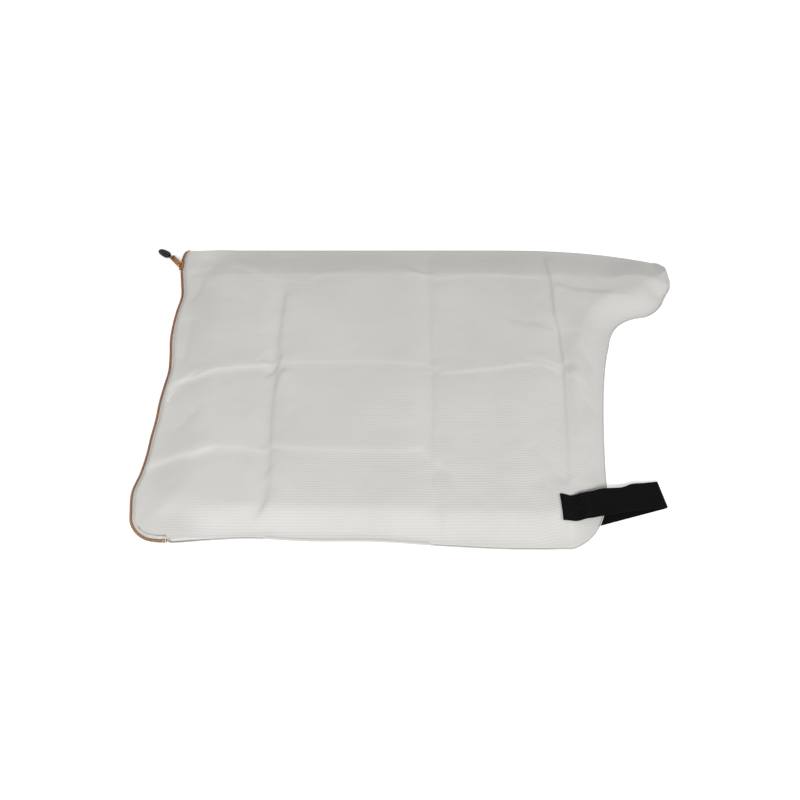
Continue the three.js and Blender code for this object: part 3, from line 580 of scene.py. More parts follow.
# The ribs turn towards the neck: how far, from where and over what length, in millimetres
ridge_y, ridge_width = 422, 14
right_slant, right_from, right_length = 24, 560, 140
neck_slant, neck_from, neck_turn = 62, 650, 120
below_ridge = 1 - smooth((grid[..., 1] - ridge_y) / ridge_width)
slant = right_slant * smooth((grid[..., 0] - right_from) / right_length)
slant = slant + neck_slant * smooth((grid[..., 0] - neck_from) / neck_turn) * below_ridge
set_map(bag, grid[i, j, 0] / 1000, (grid[..., 1] - slant)[i, j] / 1000)
with whole_mesh():
    bpy.ops.mesh.remove_doubles(threshold=weld)
    bpy.ops.mesh.normals_make_consistent(inside=False)
thicken(bag, cloth_wall, -1)
# At the tube's open ends a few corners of the wall come out under the floor, and are laid on it
settled = corner_points(bag)
settled[:, 2] = np.maximum(settled[:, 2], 0)
bag.data.vertices.foreach_set("co", settled.ravel())
bpy.ops.object.shade_smooth()

rib_pitch = 0.004
cloth_material, tree = new_material("ribbed_grey_cloth")
shader = node(tree, "ShaderNodeBsdfPrincipled", Roughness=0.85, Sheen_Weight=0.1,
    Sheen_Roughness=0.5)
coordinates = node(tree, "ShaderNodeTexCoord")
waver = node(tree, "ShaderNodeTexNoise", Scale=26.0, Detail=3.0)
bent = node(tree, "ShaderNodeMix", data_type="VECTOR", Factor=0.003)
ribs = node(tree, "ShaderNodeTexWave", wave_type="BANDS", bands_direction="Y",
    Scale=0.314 / rib_pitch)
blotches = node(tree, "ShaderNodeTexNoise", Scale=7.0, Detail=5.0, Roughness=0.6)
threads = node(tree, "ShaderNodeTexNoise", Scale=900.0, Detail=2.0)
tint = node(tree, "ShaderNodeMix", data_type="RGBA", A=(0.500, 0.490, 0.470, 1),
    B=(0.600, 0.588, 0.566, 1))
# Painted light: noise and a gradient across the cloth, from the near right to the far left, set how
# strongly the pale ribs show. This paints the cloth a little lighter near the front and darker
# towards the far left, as the light falls. The ribs themselves are the cloth's real weave.
fuzz_and_light_noise = node(tree, "ShaderNodeTexNoise", Scale=4.0, Detail=3.0)
apart = node(tree, "ShaderNodeSeparateXYZ")
nearness = node(tree, "ShaderNodeMath", operation="MULTIPLY_ADD", by=-0.5)
light_falloff = node(tree, "ShaderNodeMath", operation="MULTIPLY_ADD", by=-0.3)
rib_light_share = node(tree, "ShaderNodeMapRange", From_Min=0.4, From_Max=0.54, To_Min=0.25, To_Max=1.0)
lit_ribs = node(tree, "ShaderNodeMath", operation="MULTIPLY")
rib_share = node(tree, "ShaderNodeMath", operation="MULTIPLY_ADD", by=0.2)
thread_share = node(tree, "ShaderNodeMath", operation="MULTIPLY_ADD", by=0.3)
raised = node(tree, "ShaderNodeMath", operation="MULTIPLY_ADD", by=0.4)
bumps = node(tree, "ShaderNodeBump", Strength=0.3, Distance=0.0006)
wire(
    tree,
    (coordinates, "UV", waver, "Vector"),
    (coordinates, "UV", bent, "A"),
    (waver, "Color", bent, "B"),
    (bent, "Result", ribs, "Vector"),
    (coordinates, "Object", blotches, "Vector"),
    (coordinates, "UV", threads, "Vector"),
    (coordinates, "Object", fuzz_and_light_noise, "Vector"),
    (coordinates, "Object", apart, "Vector"),
    (apart, "X", nearness, 0),
    (apart, "Y", nearness, 2),
    (nearness, 0, light_falloff, 0),
    (fuzz_and_light_noise, "Fac", light_falloff, 2),
    (light_falloff, 0, rib_light_share, "Value"),
    # The ribs, scaled by the painted light falloff
    (ribs, "Fac", lit_ribs, 0),
    (rib_light_share, "Result", lit_ribs, 1),
    (lit_ribs, 0, rib_share, 0),
    (blotches, "Fac", rib_share, 2),
    (threads, "Fac", thread_share, 0),
    (rib_share, 0, thread_share, 2),
    (thread_share, 0, tint, "Factor"),
    (tint, "Result", shader, "Base Color"),
    (threads, "Fac", raised, 0),
    (lit_ribs, 0, raised, 2),
    (raised, 0, bumps, "Height"),
    (bumps, "Normal", shader, "Normal"),
)
surfaced(tree, shader)
bag.data.materials.append(cloth_material)
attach(bag, "bag")
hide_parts("bag_cloth")

# Overlocked edge: both layers' raw edges along the near seam and the right side, trimmed and
# wrapped together in cream thread. Part of it has rolled up over the near seam.


def tube(name, path, side, up, half_wide, half_high, around=10):
    """A soft round edge or cord along a path: a flat grid rolled up and closed at its ends."""
    path = np.asarray(path, float)
    piece, i, j = new_grid(name, len(path), around + 1)
    turn = 2 * math.pi * (j % around) / around
    wide = np.broadcast_to(half_wide, len(path))[i] * np.cos(turn)
    high = np.broadcast_to(half_high, len(path))[i] * np.sin(turn)
    places = path[i] + side[i] * wide[:, None] + up[i] * high[:, None]
    piece.data.vertices.foreach_set("co", row(places).ravel())
    gone = gone_along(path)
    set_map(piece, gone[i] / 1000, j / around * 2 * math.pi * np.mean(half_wide) / 1000)
    with whole_mesh():
        bpy.ops.mesh.remove_doubles(threshold=weld)
        bpy.ops.mesh.fill_holes(sides=0)
        bpy.ops.mesh.normals_make_consistent(inside=False)
    bpy.ops.object.shade_smooth()
    return piece


def shader_group(name, inputs, outputs):
    """An empty node group with its named inputs and outputs."""
    group = bpy.data.node_groups.new(name, "ShaderNodeTree")
    for title, kind, value in inputs:
        socket = group.interface.new_socket(name=title, in_out="INPUT", socket_type=kind)
        if value is not None:
            socket.default_value = value
    for title, kind in outputs:
        group.interface.new_socket(name=title, in_out="OUTPUT", socket_type=kind)
    return group, group.nodes.new("NodeGroupInput"), group.nodes.new("NodeGroupOutput")


# Threads lying over and under each other, as in webbing, tape, elastic and thread wrapped edges
woven, taken, given = shader_group(
    "crossed threads",
    [
        ("Map", "NodeSocketVector", None),
        ("Along", "NodeSocketFloat", 1000.0),
        ("Across", "NodeSocketFloat", 1000.0),
        ("Slant", "NodeSocketFloat", 0.0),
        ("Dark", "NodeSocketColor", (0.1, 0.1, 0.1, 1)),
        ("Light", "NodeSocketColor", (0.2, 0.2, 0.2, 1)),
    ],
    [("Color", "NodeSocketColor"), ("Height", "NodeSocketFloat")],
)
parts = node(woven, "ShaderNodeSeparateXYZ")
leaning = node(woven, "ShaderNodeMath", operation="MULTIPLY_ADD")
along_turns = node(woven, "ShaderNodeMath", operation="MULTIPLY")
across_turns = node(woven, "ShaderNodeMath", operation="MULTIPLY")
along_wave = node(woven, "ShaderNodeMath", operation="SINE")
across_wave = node(woven, "ShaderNodeMath", operation="SINE")
crossed = node(woven, "ShaderNodeMath", operation="MULTIPLY")
level = node(woven, "ShaderNodeMapRange", From_Min=-1.0, From_Max=1.0)
fuzz = node(woven, "ShaderNodeTexNoise", Scale=1500.0, Detail=2.0)
fuzz_and_light_noise = node(woven, "ShaderNodeMath", operation="MULTIPLY_ADD", by=0.5)
toned = node(woven, "ShaderNodeMath", operation="SUBTRACT", by=0.25)
mixed = node(woven, "ShaderNodeMix", data_type="RGBA")
wire(
    woven,
    (taken, "Map", parts, 0),
    (parts, "Y", leaning, 0),
    (taken, "Slant", leaning, 1),
    (parts, "X", leaning, 2),
    (leaning, 0, along_turns, 0),
    (taken, "Along", along_turns, 1),
    (parts, "Y", across_turns, 0),
    (taken, "Across", across_turns, 1),
    (along_turns, 0, along_wave, 0),
    (across_turns, 0, across_wave, 0),
    (along_wave, 0, crossed, 0),
    (across_wave, 0, crossed, 1),
    (crossed, 0, level, "Value"),
    (taken, "Map", fuzz, "Vector"),
    (fuzz, "Fac", fuzz_and_light_noise, 0),
    (level, "Result", fuzz_and_light_noise, 2),
    (fuzz_and_light_noise, 0, toned, 0),
    (toned, 0, mixed, "Factor"),
    (taken, "Dark", mixed, "A"),
    (taken, "Light", mixed, "B"),
    (mixed, "Result", given, "Color"),
    (level, "Result", given, "Height"),
)


def thread_material(
    name, dark, light, pitch_along, pitch_across, slant, roughness, bump, shine=0.5
):
    """A material of crossed threads: its two colours, and the pitch of the threads in metres."""
    material, tree = new_material(name)
    shader = node(tree, "ShaderNodeBsdfPrincipled", Roughness=roughness, Specular_IOR_Level=shine,
        Sheen_Weight=0.1 * shine)
    coordinates = node(tree, "ShaderNodeTexCoord")
    threads = node(tree, "ShaderNodeGroup", node_tree=woven, Along=2 * math.pi / pitch_along,
        Across=2 * math.pi / pitch_across, Slant=slant, Dark=(*dark, 1), Light=(*light, 1))
    bumps = node(tree, "ShaderNodeBump", Strength=bump, Distance=0.0004)
    wire(
        tree,
        (coordinates, "UV", threads, "Map"),
        (threads, "Color", shader, "Base Color"),
        (threads, "Height", bumps, "Height"),
        (bumps, "Normal", shader, "Normal"),
    )
    surfaced(tree, shader)
    return material


binding_inset, binding_width, binding_height = 0.4, 2.0, 2.2
roll_from, roll_to, roll_swell, roll_rise = 189, 434, 1.5, 0.75
notches, notch_reach, notch_dent = (184, 332), 3, 0.4
edge_path = near_line[near_line[:, 0] > zip_foot[0] + 2]
edge_way = unit(np.gradient(edge_path, axis=0))
outwards = np.column_stack([edge_way[:, 1], -edge_way[:, 0], np.zeros(len(edge_path))])
edge_x, on_near_seam = edge_path[:, 0], edge_path[:, 1] < 60
rolled = smooth((edge_x - roll_from) / 8) * smooth((roll_to - edge_x) / 12) * on_near_seam
notched = sum(np.exp(-(((edge_x - notch) / notch_reach) ** 2)) for notch in notches)
half_wide = binding_width / 2 + roll_swell * rolled - notch_dent * (notched * on_near_seam)
edge_lift = web_lift(edge_path[:, 0], edge_path[:, 1]) + binding_height / 2 + roll_rise * rolled
edge_path = np.column_stack([edge_path, edge_lift])
edge_path = edge_path + outwards * (binding_inset + binding_width - half_wide)[:, None]
up = np.tile([0.0, 0.0, 1.0], (len(edge_path), 1))
binding = tube("overlocked_edge", edge_path, outwards, up, half_wide, binding_height / 2)
overlock = thread_material("cream_overlock_thread", (0.50, 0.485, 0.45), (0.68, 0.665, 0.63),
    0.0017, 0.006, 0.5, 0.8, 0.7)
binding.data.materials.append(overlock)
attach(binding, "bag")
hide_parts("seam_binding")

# Hem and topstitching: rows of lockstitch in pale thread, round the turned hem of the mouth and
# beside the zip.
stitch_pitch, stitch_lift, stitch_size = 3.2, 0.05, (2.5, 0.6, 0.4)


def repeat(name, model, frames):
    """One piece: a copy of the model, in millimetres, at each frame. The model is taken away."""
    corners = np.column_stack([corner_points(model), np.ones(len(model.data.vertices))])
    placed = row(np.einsum("nij,vj->nvi", frames, corners).reshape(-1, 3))
    faces = [tuple(face.vertices) for face in model.data.polygons]
    count = len(corners)
    mesh = bpy.data.meshes.new(name)
    copies = [[v + k * count for v in face] for k in range(len(frames)) for face in faces]
    mesh.from_pydata(placed.tolist(), [], copies)
    mesh.validate()
    bpy.data.objects.remove(model)
    piece = bpy.data.objects.new(name, mesh)
    bpy.context.scene.collection.objects.link(piece)
    bpy.ops.object.select_all(action="DESELECT")
    piece.select_set(True)
    bpy.context.view_layer.objects.active = piece
    with whole_mesh():
        bpy.ops.mesh.normals_make_consistent(inside=False)
    bpy.ops.object.shade_smooth()
    return piece


def new_stitch(size_x, size_y, size_z):
    """One stitch along X: a bar with its edges rounded off."""
    bpy.ops.object.select_all(action="DESELECT")
    bpy.ops.mesh.primitive_cube_add(size=1, scale=(size_x, size_y, size_z))
    with whole_mesh():
        bpy.ops.mesh.bevel(offset=size_z * 0.35, segments=1)
    return bpy.context.object


def stitch_frames(path, normals, pitch, raised):
    """Frames at equal steps of a path that lies on a surface, with X along it and Z out of it."""
    gone = gone_along(path)
    count = int(gone[-1] / pitch)
    steps = (np.arange(count) + 0.5) * gone[-1] / count
    at = read_off(steps, gone, path)
    x_way = unit(read_off(steps + 0.5, gone, path) - read_off(steps - 0.5, gone, path))
    out = read_off(steps, gone, normals)
    out = unit(out - x_way * np.sum(out * x_way, axis=1)[:, None])
    return np.stack([x_way, np.cross(out, x_way), out, at + out * raised], axis=-1)


cloth_top_grid = np.stack([x, y, z], axis=-1)[:, : top_steps + 1]
down_rows, over_rows = np.gradient(cloth_top_grid, axis=0), np.gradient(cloth_top_grid, axis=1)
cloth_normals = unit(np.cross(down_rows, over_rows))
cloth_normals *= np.sign(cloth_normals[..., 2:])


def line_on_cloth(columns, station_of):
    """Places and normals on the upper layer, at a station for each column."""
    places, normals = [], []
    for column in columns:
        k = station_of(column)
        low = int(min(k, stations - 2))
        part = k - low
        places.append(lerp(cloth_top_grid[low, column], cloth_top_grid[low + 1, column], part))
        normals.append(lerp(cloth_normals[low, column], cloth_normals[low + 1, column], part))
    return np.array(places), np.array(normals)


near_rows, zip_stitch_reach = 12, 4.2


def hem_station(column):
    """Where the hem's stitches cross a column, back from the mouth."""
    gap = np.linalg.norm(cloth_top_grid[:, column, :2] - cloth_top_grid[-1, column, :2], axis=1)
    return np.interp(-hem_reach, -gap[-near_rows:], np.arange(stations)[-near_rows:])


def zip_station(column):
    """Where the stitches beside the zip cross a column."""
    gap = cloth_top_grid[:near_rows, column, :2] - cloth_top_grid[0, column, :2]
    return np.interp(zip_stitch_reach, np.linalg.norm(gap, axis=1), np.arange(near_rows))


hem_path, hem_normals = line_on_cloth(range(6, top_steps - 5), hem_station)
edge_stitch_path, edge_stitch_normals = line_on_cloth(range(8, top_steps - 3), zip_station)
frames = np.concatenate([
    stitch_frames(hem_path, hem_normals, stitch_pitch, stitch_lift),
    stitch_frames(edge_stitch_path, edge_stitch_normals, stitch_pitch, stitch_lift),
])
stitches = repeat("pale_stitches", new_stitch(*stitch_size), frames)
stitches.data.uv_layers.new(name="UVMap")


def twisted_thread(name, scale, dark, light, **finish):
    """A material of one twisted thread, between its two colours."""
    material, tree = new_material(name)
    shader = node(tree, "ShaderNodeBsdfPrincipled", **finish)
    coordinates = node(tree, "ShaderNodeTexCoord")
    twist = node(tree, "ShaderNodeTexWave", wave_type="BANDS", bands_direction="DIAGONAL",
        Scale=scale, Distortion=1.0)
    tint = node(tree, "ShaderNodeMix", data_type="RGBA", A=(*dark, 1), B=(*light, 1))
    wire(
        tree,
        (coordinates, "Object", twist, "Vector"),
        (twist, "Fac", tint, "Factor"),
        (tint, "Result", shader, "Base Color"),
    )
    surfaced(tree, shader)
    return material


pale_thread = twisted_thread("pale_thread", 900.0, (0.42, 0.41, 0.39), (0.60, 0.59, 0.565),
    Roughness=0.6)
stitches.data.materials.append(pale_thread)
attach(stitches, "bag")

# Neck elastic: a flat woven elastic ring inside the mouth. It is sewn on while stretched, so it
# gathers the mouth and lies in small waves itself.


def finished_copy(node_name, name):
    """The CAD piece's own shape, with its doubles merged and its flat faces joined."""
    bpy.ops.object.select_all(action="DESELECT")
    piece = bpy.data.objects.new(name, frame["nodes"][node_name].data.copy())
    bpy.context.scene.collection.objects.link(piece)
    piece.data.materials.clear()
    piece.select_set(True)
    bpy.context.view_layer.objects.active = piece
    with whole_mesh():
        bpy.ops.mesh.remove_doubles(threshold=2 * weld)
        bpy.ops.mesh.dissolve_limited(angle_limit=math.radians(1))
    return piece


elastic = finished_copy("neck_elastic", "mouth_elastic")
with whole_mesh():
    bpy.ops.mesh.subdivide(number_cuts=4)
elastic_wave, elastic_wave_pitch = 0.0002, 0.006
elastic_points = corner_points(elastic)
wave_turns = elastic_points[:, 1] * 2 * math.pi / elastic_wave_pitch
elastic_points[:, 2] += elastic_wave * np.sin(wave_turns)
elastic.data.vertices.foreach_set("co", elastic_points.ravel())
if not elastic.data.uv_layers:
    elastic.data.uv_layers.new(name="UVMap")
set_map(elastic, elastic_points[:, 1], elastic_points[:, 0])
bpy.ops.object.shade_smooth_by_angle(angle=math.radians(40))
elastic_band = thread_material("woven_elastic", (0.42, 0.41, 0.39), (0.66, 0.65, 0.62), 0.0012,
    0.0011, 0.0, 0.7, 0.6)
elastic.data.materials.append(elastic_band)
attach(elastic, "bag")
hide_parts("neck_elastic")

# Zip tapes: two woven beige tapes, one sewn under the edge of each layer. They lie behind the
# coils and part a little where the slider's post passes between them.
zip_tilt, zip_height = math.radians(45), 8.2
tape_back, tape_turn, tape_floor = 1.7, -3, 0.5
tape_reach, tape_straight, tape_cut = 15, 5.4, 16
tape_thickness, tape_gap, underlap = 0.5, 0.5, 0.6
coil_width, coil_half, coil_gap = 2.6, 1.2, 0.1
slider_length, slider_place, parting = 14, 40, 1.4
slider_share = zip_share[np.argmax(zip_line[:, 1] <= body_width - slider_place)]


def parted_at(share):
    """How far each half stands off the zip's middle."""
    return parting * smooth(((slider_share - share) * zip_length + 1.5) / 4)


def on_zip_face(share, across, out):
    """Places on the zip: across its face and out of it, which looks outwards and up."""
    inwards = across * math.cos(zip_tilt) - out * math.sin(zip_tilt)
    height = across * math.sin(zip_tilt) + out * math.cos(zip_tilt)
    return np.column_stack([beside_zip(share, inwards), zip_height + height])


def beside(share, inwards, height):
    inwards = np.broadcast_to(inwards, share.shape)
    return np.column_stack([beside_zip(share, inwards), np.full(len(share), height)])


tape_material = thread_material("beige_zip_tape", (0.60, 0.58, 0.52), (0.78, 0.76, 0.70), 0.0011,
    0.0016, 0.6, 0.85, 0.6)
tape_rows, tuck_from, tuck_length, tuck_in = 361, 0.78, 0.06, 2
tape_shares = np.linspace(0, 1, tape_rows)
per_bend, column_width = 3, 0.0022  # columns between two bends of a tape, and their width in metres
zip_halves = ((1, "upper"), (-1, "lower"))
for side, half in zip_halves:
    title, node_name = f"{half}_tape", f"zip_tape_{half}"
    hidden = cloth_wall + tape_gap
    if side > 0:
        hidden = zip_mouth - hidden - tape_thickness
    from_end = np.minimum(tape_shares, 1 - tape_shares) * zip_length
    reach = lerp(reveal + 1, tape_reach, smooth((from_end - slider_length) / tape_cut))
    tucked = smooth((tape_shares - tuck_from) / tuck_length)
    inner = side * (2 * coil_gap + parted_at(tape_shares))
    outer = side * lerp(tape_straight, tape_straight - tuck_in, tucked * (side < 0))
    flat_out = np.full(len(tape_shares), -tape_back)
    bends = [on_zip_face(tape_shares, inner, flat_out), on_zip_face(tape_shares, outer, flat_out)]
    if side < 0:
        bends.append(beside(tape_shares, lerp(tape_turn, 0, tucked), tape_floor))
    bends.append(beside(tape_shares, reveal + underlap, hidden + tape_thickness / 2))
    bends.append(beside(tape_shares, reach + underlap, hidden + tape_thickness / 2))
    tape, i, j = new_grid(title, len(tape_shares), per_bend * (len(bends) - 1) + 1)
    bends = np.array(bends)
    low = np.minimum(j // per_bend, len(bends) - 2)
    part = (j / per_bend - low)[:, None]
    tape.data.vertices.foreach_set("co", row(lerp(bends[low, i], bends[low + 1, i], part)).ravel())
    set_map(tape, tape_shares[i] * zip_length / 1000, j * column_width)
    with whole_mesh():
        bpy.ops.mesh.normals_make_consistent(inside=False)
    thicken(tape, tape_thickness, 0)
    bpy.ops.object.shade_smooth_by_angle(angle=math.radians(50))
    tape.data.materials.append(tape_material)
    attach(tape, "bag")
    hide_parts(node_name)

# Zip coils: two flattened spirals of orange-brown nylon wire, one woven to each tape, whose turns
# lock into each other from the slider to the bottom stop.
coil_pitch = 1.5
coil_wire, coil_lean, coil_spread = 0.36, 0.3, 1.25
stop_length, sew_gap = 3, 0.3
stop_share = (stop_length + sew_gap) / zip_length
coil_material, tree = new_material("brown_nylon_coil")
shader = node(tree, "ShaderNodeBsdfPrincipled", Roughness=0.38)
coordinates = node(tree, "ShaderNodeTexCoord")
fading = node(tree, "ShaderNodeTexNoise", Scale=60.0, Detail=3.0)
tint = node(tree, "ShaderNodeMix", data_type="RGBA", A=(0.27, 0.105, 0.042, 1),
    B=(0.44, 0.205, 0.095, 1))
scuffs = node(tree, "ShaderNodeTexNoise", Scale=900.0, Detail=2.0)
bumps = node(tree, "ShaderNodeBump", Strength=0.25, Distance=0.0002)
wire(
    tree,
    (coordinates, "Object", fading, "Vector"),
    (coordinates, "Object", scuffs, "Vector"),
    (fading, "Fac", tint, "Factor"),
    (tint, "Result", shader, "Base Color"),
    (scuffs, "Fac", bumps, "Height"),
    (bumps, "Normal", shader, "Normal"),
)
surfaced(tree, shader)
for side, half in zip_halves:
    title, node_name = f"{half}_coil", f"zip_coil_{half}"
    turns = int(zip_length * (1 - 3 * stop_share) / coil_pitch)
    turn_places = np.arange(turns) + 0.5 + 0.25 * side
    shares = 1.5 * stop_share + turn_places * (1 - 3 * stop_share) / turns
    shares = shares[shares < 1 - 1.5 * stop_share]
    zeros = np.zeros(len(shares))
    middle = side * (coil_gap + parted_at(shares) + coil_width / 2)
    face = on_zip_face(shares, zeros, zeros)
    across_way = on_zip_face(shares, zeros + 1, zeros) - face
    out_way = on_zip_face(shares, zeros, zeros + 1) - face
    along_way = np.cross(across_way, out_way)
    frames = np.stack([across_way, out_way, along_way, on_zip_face(shares, middle, zeros)], axis=-1)
    bpy.ops.object.select_all(action="DESELECT")
    bpy.ops.mesh.primitive_torus_add(
        major_segments=10,
        minor_segments=5,
        major_radius=coil_half - coil_wire,
        minor_radius=coil_wire,
    )
    turn_of_wire = bpy.context.object
    with whole_mesh():
        bpy.ops.transform.resize(value=(coil_width / (2 * coil_half), 1, coil_spread))
    for corner in turn_of_wire.data.vertices:
        corner.co.z += coil_lean * coil_pitch * corner.co.y / coil_half
    coil = repeat(title, turn_of_wire, frames)
    coil.data.materials.append(coil_material)
    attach(coil, "bag")
    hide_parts(node_name)

# Zip stops: small copper-coloured staples pressed over the tapes' edges, two at the open end and
# one across both rows at the closed end. Slider, bail and pull tab are cast in the same metal.
rubbed, taken, given = shader_group(
    "rubbed plating",
    [
        ("Place", "NodeSocketVector", None),
        ("Size", "NodeSocketFloat", 300.0),
        ("Dark", "NodeSocketColor", (0.2, 0.1, 0.05, 1)),
        ("Light", "NodeSocketColor", (0.5, 0.3, 0.1, 1)),
    ],
    [("Color", "NodeSocketColor"), ("Roughness", "NodeSocketFloat"), ("Height", "NodeSocketFloat")],
)
patches = node(rubbed, "ShaderNodeTexNoise", Detail=4.0, Roughness=0.65)
grain = node(rubbed, "ShaderNodeTexNoise", Scale=2600.0, Detail=2.0)
spread = node(rubbed, "ShaderNodeMapRange", From_Min=0.35, From_Max=0.65)
matt = node(rubbed, "ShaderNodeMapRange", To_Min=0.62, To_Max=0.42)
mixed = node(rubbed, "ShaderNodeMix", data_type="RGBA")
wire(
    rubbed,
    (taken, "Place", patches, "Vector"),
    (taken, "Size", patches, "Scale"),
    (taken, "Place", grain, "Vector"),
    (patches, "Fac", spread, "Value"),
    (spread, "Result", mixed, "Factor"),
    (spread, "Result", matt, "Value"),
    (taken, "Dark", mixed, "A"),
    (taken, "Light", mixed, "B"),
    (mixed, "Result", given, "Color"),
    (matt, "Result", given, "Roughness"),
    (grain, "Fac", given, "Height"),
)


def rubbed_material(name, size, dark, light, bump, **finish):
    """A material rubbed between two colours in patches, whose size is given as a scale."""
    material, tree = new_material(name)
    shader = node(tree, "ShaderNodeBsdfPrincipled", **finish)
    coordinates = node(tree, "ShaderNodeTexCoord")
    surface = node(tree, "ShaderNodeGroup", node_tree=rubbed, Size=size, Dark=(*dark, 1),
        Light=(*light, 1))
    bumps = node(tree, "ShaderNodeBump", Strength=bump, Distance=0.0001)
    wire(
        tree,
        (coordinates, "Object", surface, "Place"),
        (surface, "Color", shader, "Base Color"),
        (surface, "Roughness", shader, "Roughness"),
        (surface, "Height", bumps, "Height"),
        (bumps, "Normal", shader, "Normal"),
    )
    surfaced(tree, shader)
    return material


copper = rubbed_material("worn_copper_plate", 420.0, (0.235, 0.095, 0.035), (0.47, 0.22, 0.09),
    0.2, Metallic=0.85)


def broken_edges(piece, size, steps=2, sharper_than=30):
    """The piece with its sharp edges rounded, by a size in millimetres."""
    rounding = piece.modifiers.new("edges", "BEVEL")
    rounding.width = size / 1000
    rounding.segments = steps
    rounding.limit_method = "ANGLE"
    rounding.angle_limit = math.radians(sharper_than)
    bpy.ops.object.modifier_apply(modifier="edges")
    bpy.ops.object.shade_smooth_by_angle(angle=math.radians(35))


for node_name, title, size in (
    ("zip_top_stop_upper", "upper_top_stop", 0.45),
    ("zip_top_stop_lower", "lower_top_stop", 0.45),
    ("zip_bottom_stop", "bottom_stop", 0.6),
):
    stop = finished_copy(node_name, title)
    broken_edges(stop, size, 3)
    stop.data.materials.append(copper)
    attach(stop, "bag")
    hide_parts(node_name)

# Slider, its bail and its pull tab. The tab hangs in the bail by its slot and turns there, and it
# lies out over the zip, with the puller's cord through its round eye.
for node_name, title, size, body in (
    ("slider_body", "slider", 0.28, "slider"),
    ("slider_bail", "bail", 0.25, "slider"),
    ("pull_tab", "tab", 0.3, "tab"),
):
    casting = finished_copy(node_name, title)
    broken_edges(casting, size)
    casting.data.materials.append(copper)
    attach(casting, body)
    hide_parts(node_name)

# Puller: a loop of black braided cord through the tab's eye, with both its ends moulded into a
# flat black grip.
joints = frame["record"]["behaviour"]["joints"]
swing = next(joint for joint in joints if joint["name"] == "puller_swing")
eye = np.array(swing["pos_m"]) * 1000 - origin
loop_across = -np.array(swing["axis"], float)
loop_across /= np.linalg.norm(loop_across)
puller_angle = math.radians(145)
loop_length, grip_length, grip_thick = 9.4, 25.5, 5
fall = (eye[2] - grip_thick / 2) / (loop_length + grip_length)
puller_along = np.array([math.cos(puller_angle), math.sin(puller_angle), -fall])
puller_along /= np.linalg.norm(puller_along)
loop_out = np.cross(loop_across, puller_along)
cord_radius, loop_half, socket_depth = 1.1, 4.4, 3
neck = cord_radius + 0.15
shoulder_y, corner = loop_length - 1.4, 1.5
half_loop = [
    bend((neck, loop_length + socket_depth), (neck, loop_length), (neck, shoulder_y),
        np.linspace(0, 1, 6)),
    bend((neck, shoulder_y), (neck, shoulder_y - 2), (loop_half, shoulder_y - 2.6),
        np.linspace(0, 1, 8)[1:]),
    bend((loop_half, shoulder_y - 2.6), (loop_half, 3), (loop_half, corner),
        np.linspace(0, 1, 6)[1:]),
    bend((loop_half, corner), (loop_half, 0), (loop_half - corner, 0), np.linspace(0, 1, 8)[1:]),
    [(1, 0), (0, 0)],
]
half_loop = np.vstack(half_loop)
flat_loop = np.vstack([half_loop, half_loop[-2::-1] * [-1, 1]])
loop_path = eye + flat_loop[:, :1] * loop_across + flat_loop[:, 1:] * puller_along
loop_way = unit(np.gradient(loop_path, axis=0))
loop_up = np.tile(loop_out, (len(loop_path), 1))
loop_side = np.cross(loop_way, loop_up)
cord = tube("puller_cord_loop", loop_path, loop_side, loop_up, cord_radius, cord_radius, 12)
braid = thread_material("black_braid", (0.006, 0.006, 0.007), (0.03, 0.03, 0.033), 0.0013, 0.00085,
    0.8, 0.7, 0.8, 0.15)
cord.data.materials.append(braid)
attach(cord, "puller")
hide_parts("puller_loop")

grip = finished_copy("puller_grip", "grip")
broken_edges(grip, 0.35, 2, 20)
bpy.ops.object.shade_smooth_by_angle(angle=math.radians(60))
rubber = rubbed_material("black_moulded_grip", 260.0, (0.007, 0.007, 0.008), (0.02, 0.02, 0.022),
    0.3, Specular_IOR_Level=0.2)
grip.data.materials.append(rubber)
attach(grip, "puller")
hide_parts("puller_grip")

# Carry strap: 40 mm black ribbed webbing, sewn on top of the cloth with a box and a cross, taken
# out over the right side, folded, and run back under the bag.
web_loop, web_span_height = 8.4, 24
loop_radius = (web_loop - web_thickness) / 2
web_upper = np.array([math.cos(web_turn), math.sin(web_turn)])
web_side = np.array([-web_upper[1], web_upper[0]])
columns = 13
halves = np.linspace(-web_width / 2, web_width / 2, columns)
cloth_surface = BVHTree.FromObject(bag, bpy.context.evaluated_depsgraph_get())


def cloth_under(x, y):
    """Height of the finished cloth at a place, in millimetres."""
    start = row([x, y, strap_clear])
    hit = cloth_surface.ray_cast(Vector(start), Vector((0, 0, -1)))[0]
    return hit.z * 1000 if hit else 0.0


def eased(at, stops):
    """A value between stops, easing in and out of each."""
    k = max(n for n in range(len(stops) - 1) if stops[n][0] <= at or n == 0)
    (from_at, from_value), (to_at, to_value) = stops[k : k + 2]
    return lerp(from_value, to_value, smooth((at - from_at) / (to_at - from_at)))


upper_edge_sway = [(0, 0), (16, -5), (45, -3.2), (63, -1.0), (92, -2.6), (112, 1.0), (133, 0)]
lower_edge_sway = [(0, 1.2), (14, -2.6), (32, -2.8), (57, -1.6), (85, 0)]
cut_lead, cut_reach, lift_reach, evenings, under_rows = 5, 16, 30, 6, 50
upper_run = web_reach - loop_radius
strap_step, strap_clear = 2, 60
upper_steps = np.arange(0, upper_run, strap_step)
rests = np.empty((len(upper_steps), columns))
upper = np.empty((len(upper_steps), columns, 3))
for k, along in enumerate(upper_steps):
    upper_sway, lower_sway = eased(along, upper_edge_sway), eased(along, lower_edge_sway)
    across_web = halves + lerp(lower_sway, upper_sway, 0.5 + halves / web_width)
    trim = (cut_lead * (0.5 - halves / web_width)) * (1 - smooth(along / cut_reach))
    places = web_end + np.outer(along - trim, web_upper) + np.outer(across_web, web_side)
    straight = lerp(web_span_height, web_loop - web_thickness, along / upper_run)
    for n, spot in enumerate(places):
        rest = max(
            cloth_under(*(spot + web_upper * ahead + web_side * aside))
            for ahead in (-4, 0, 4)
            for aside in (-3, 0, 3)
        )
        rests[k, n] = max(rest + sew_gap, straight * smooth(along / lift_reach))
    upper[k, :, :2] = places
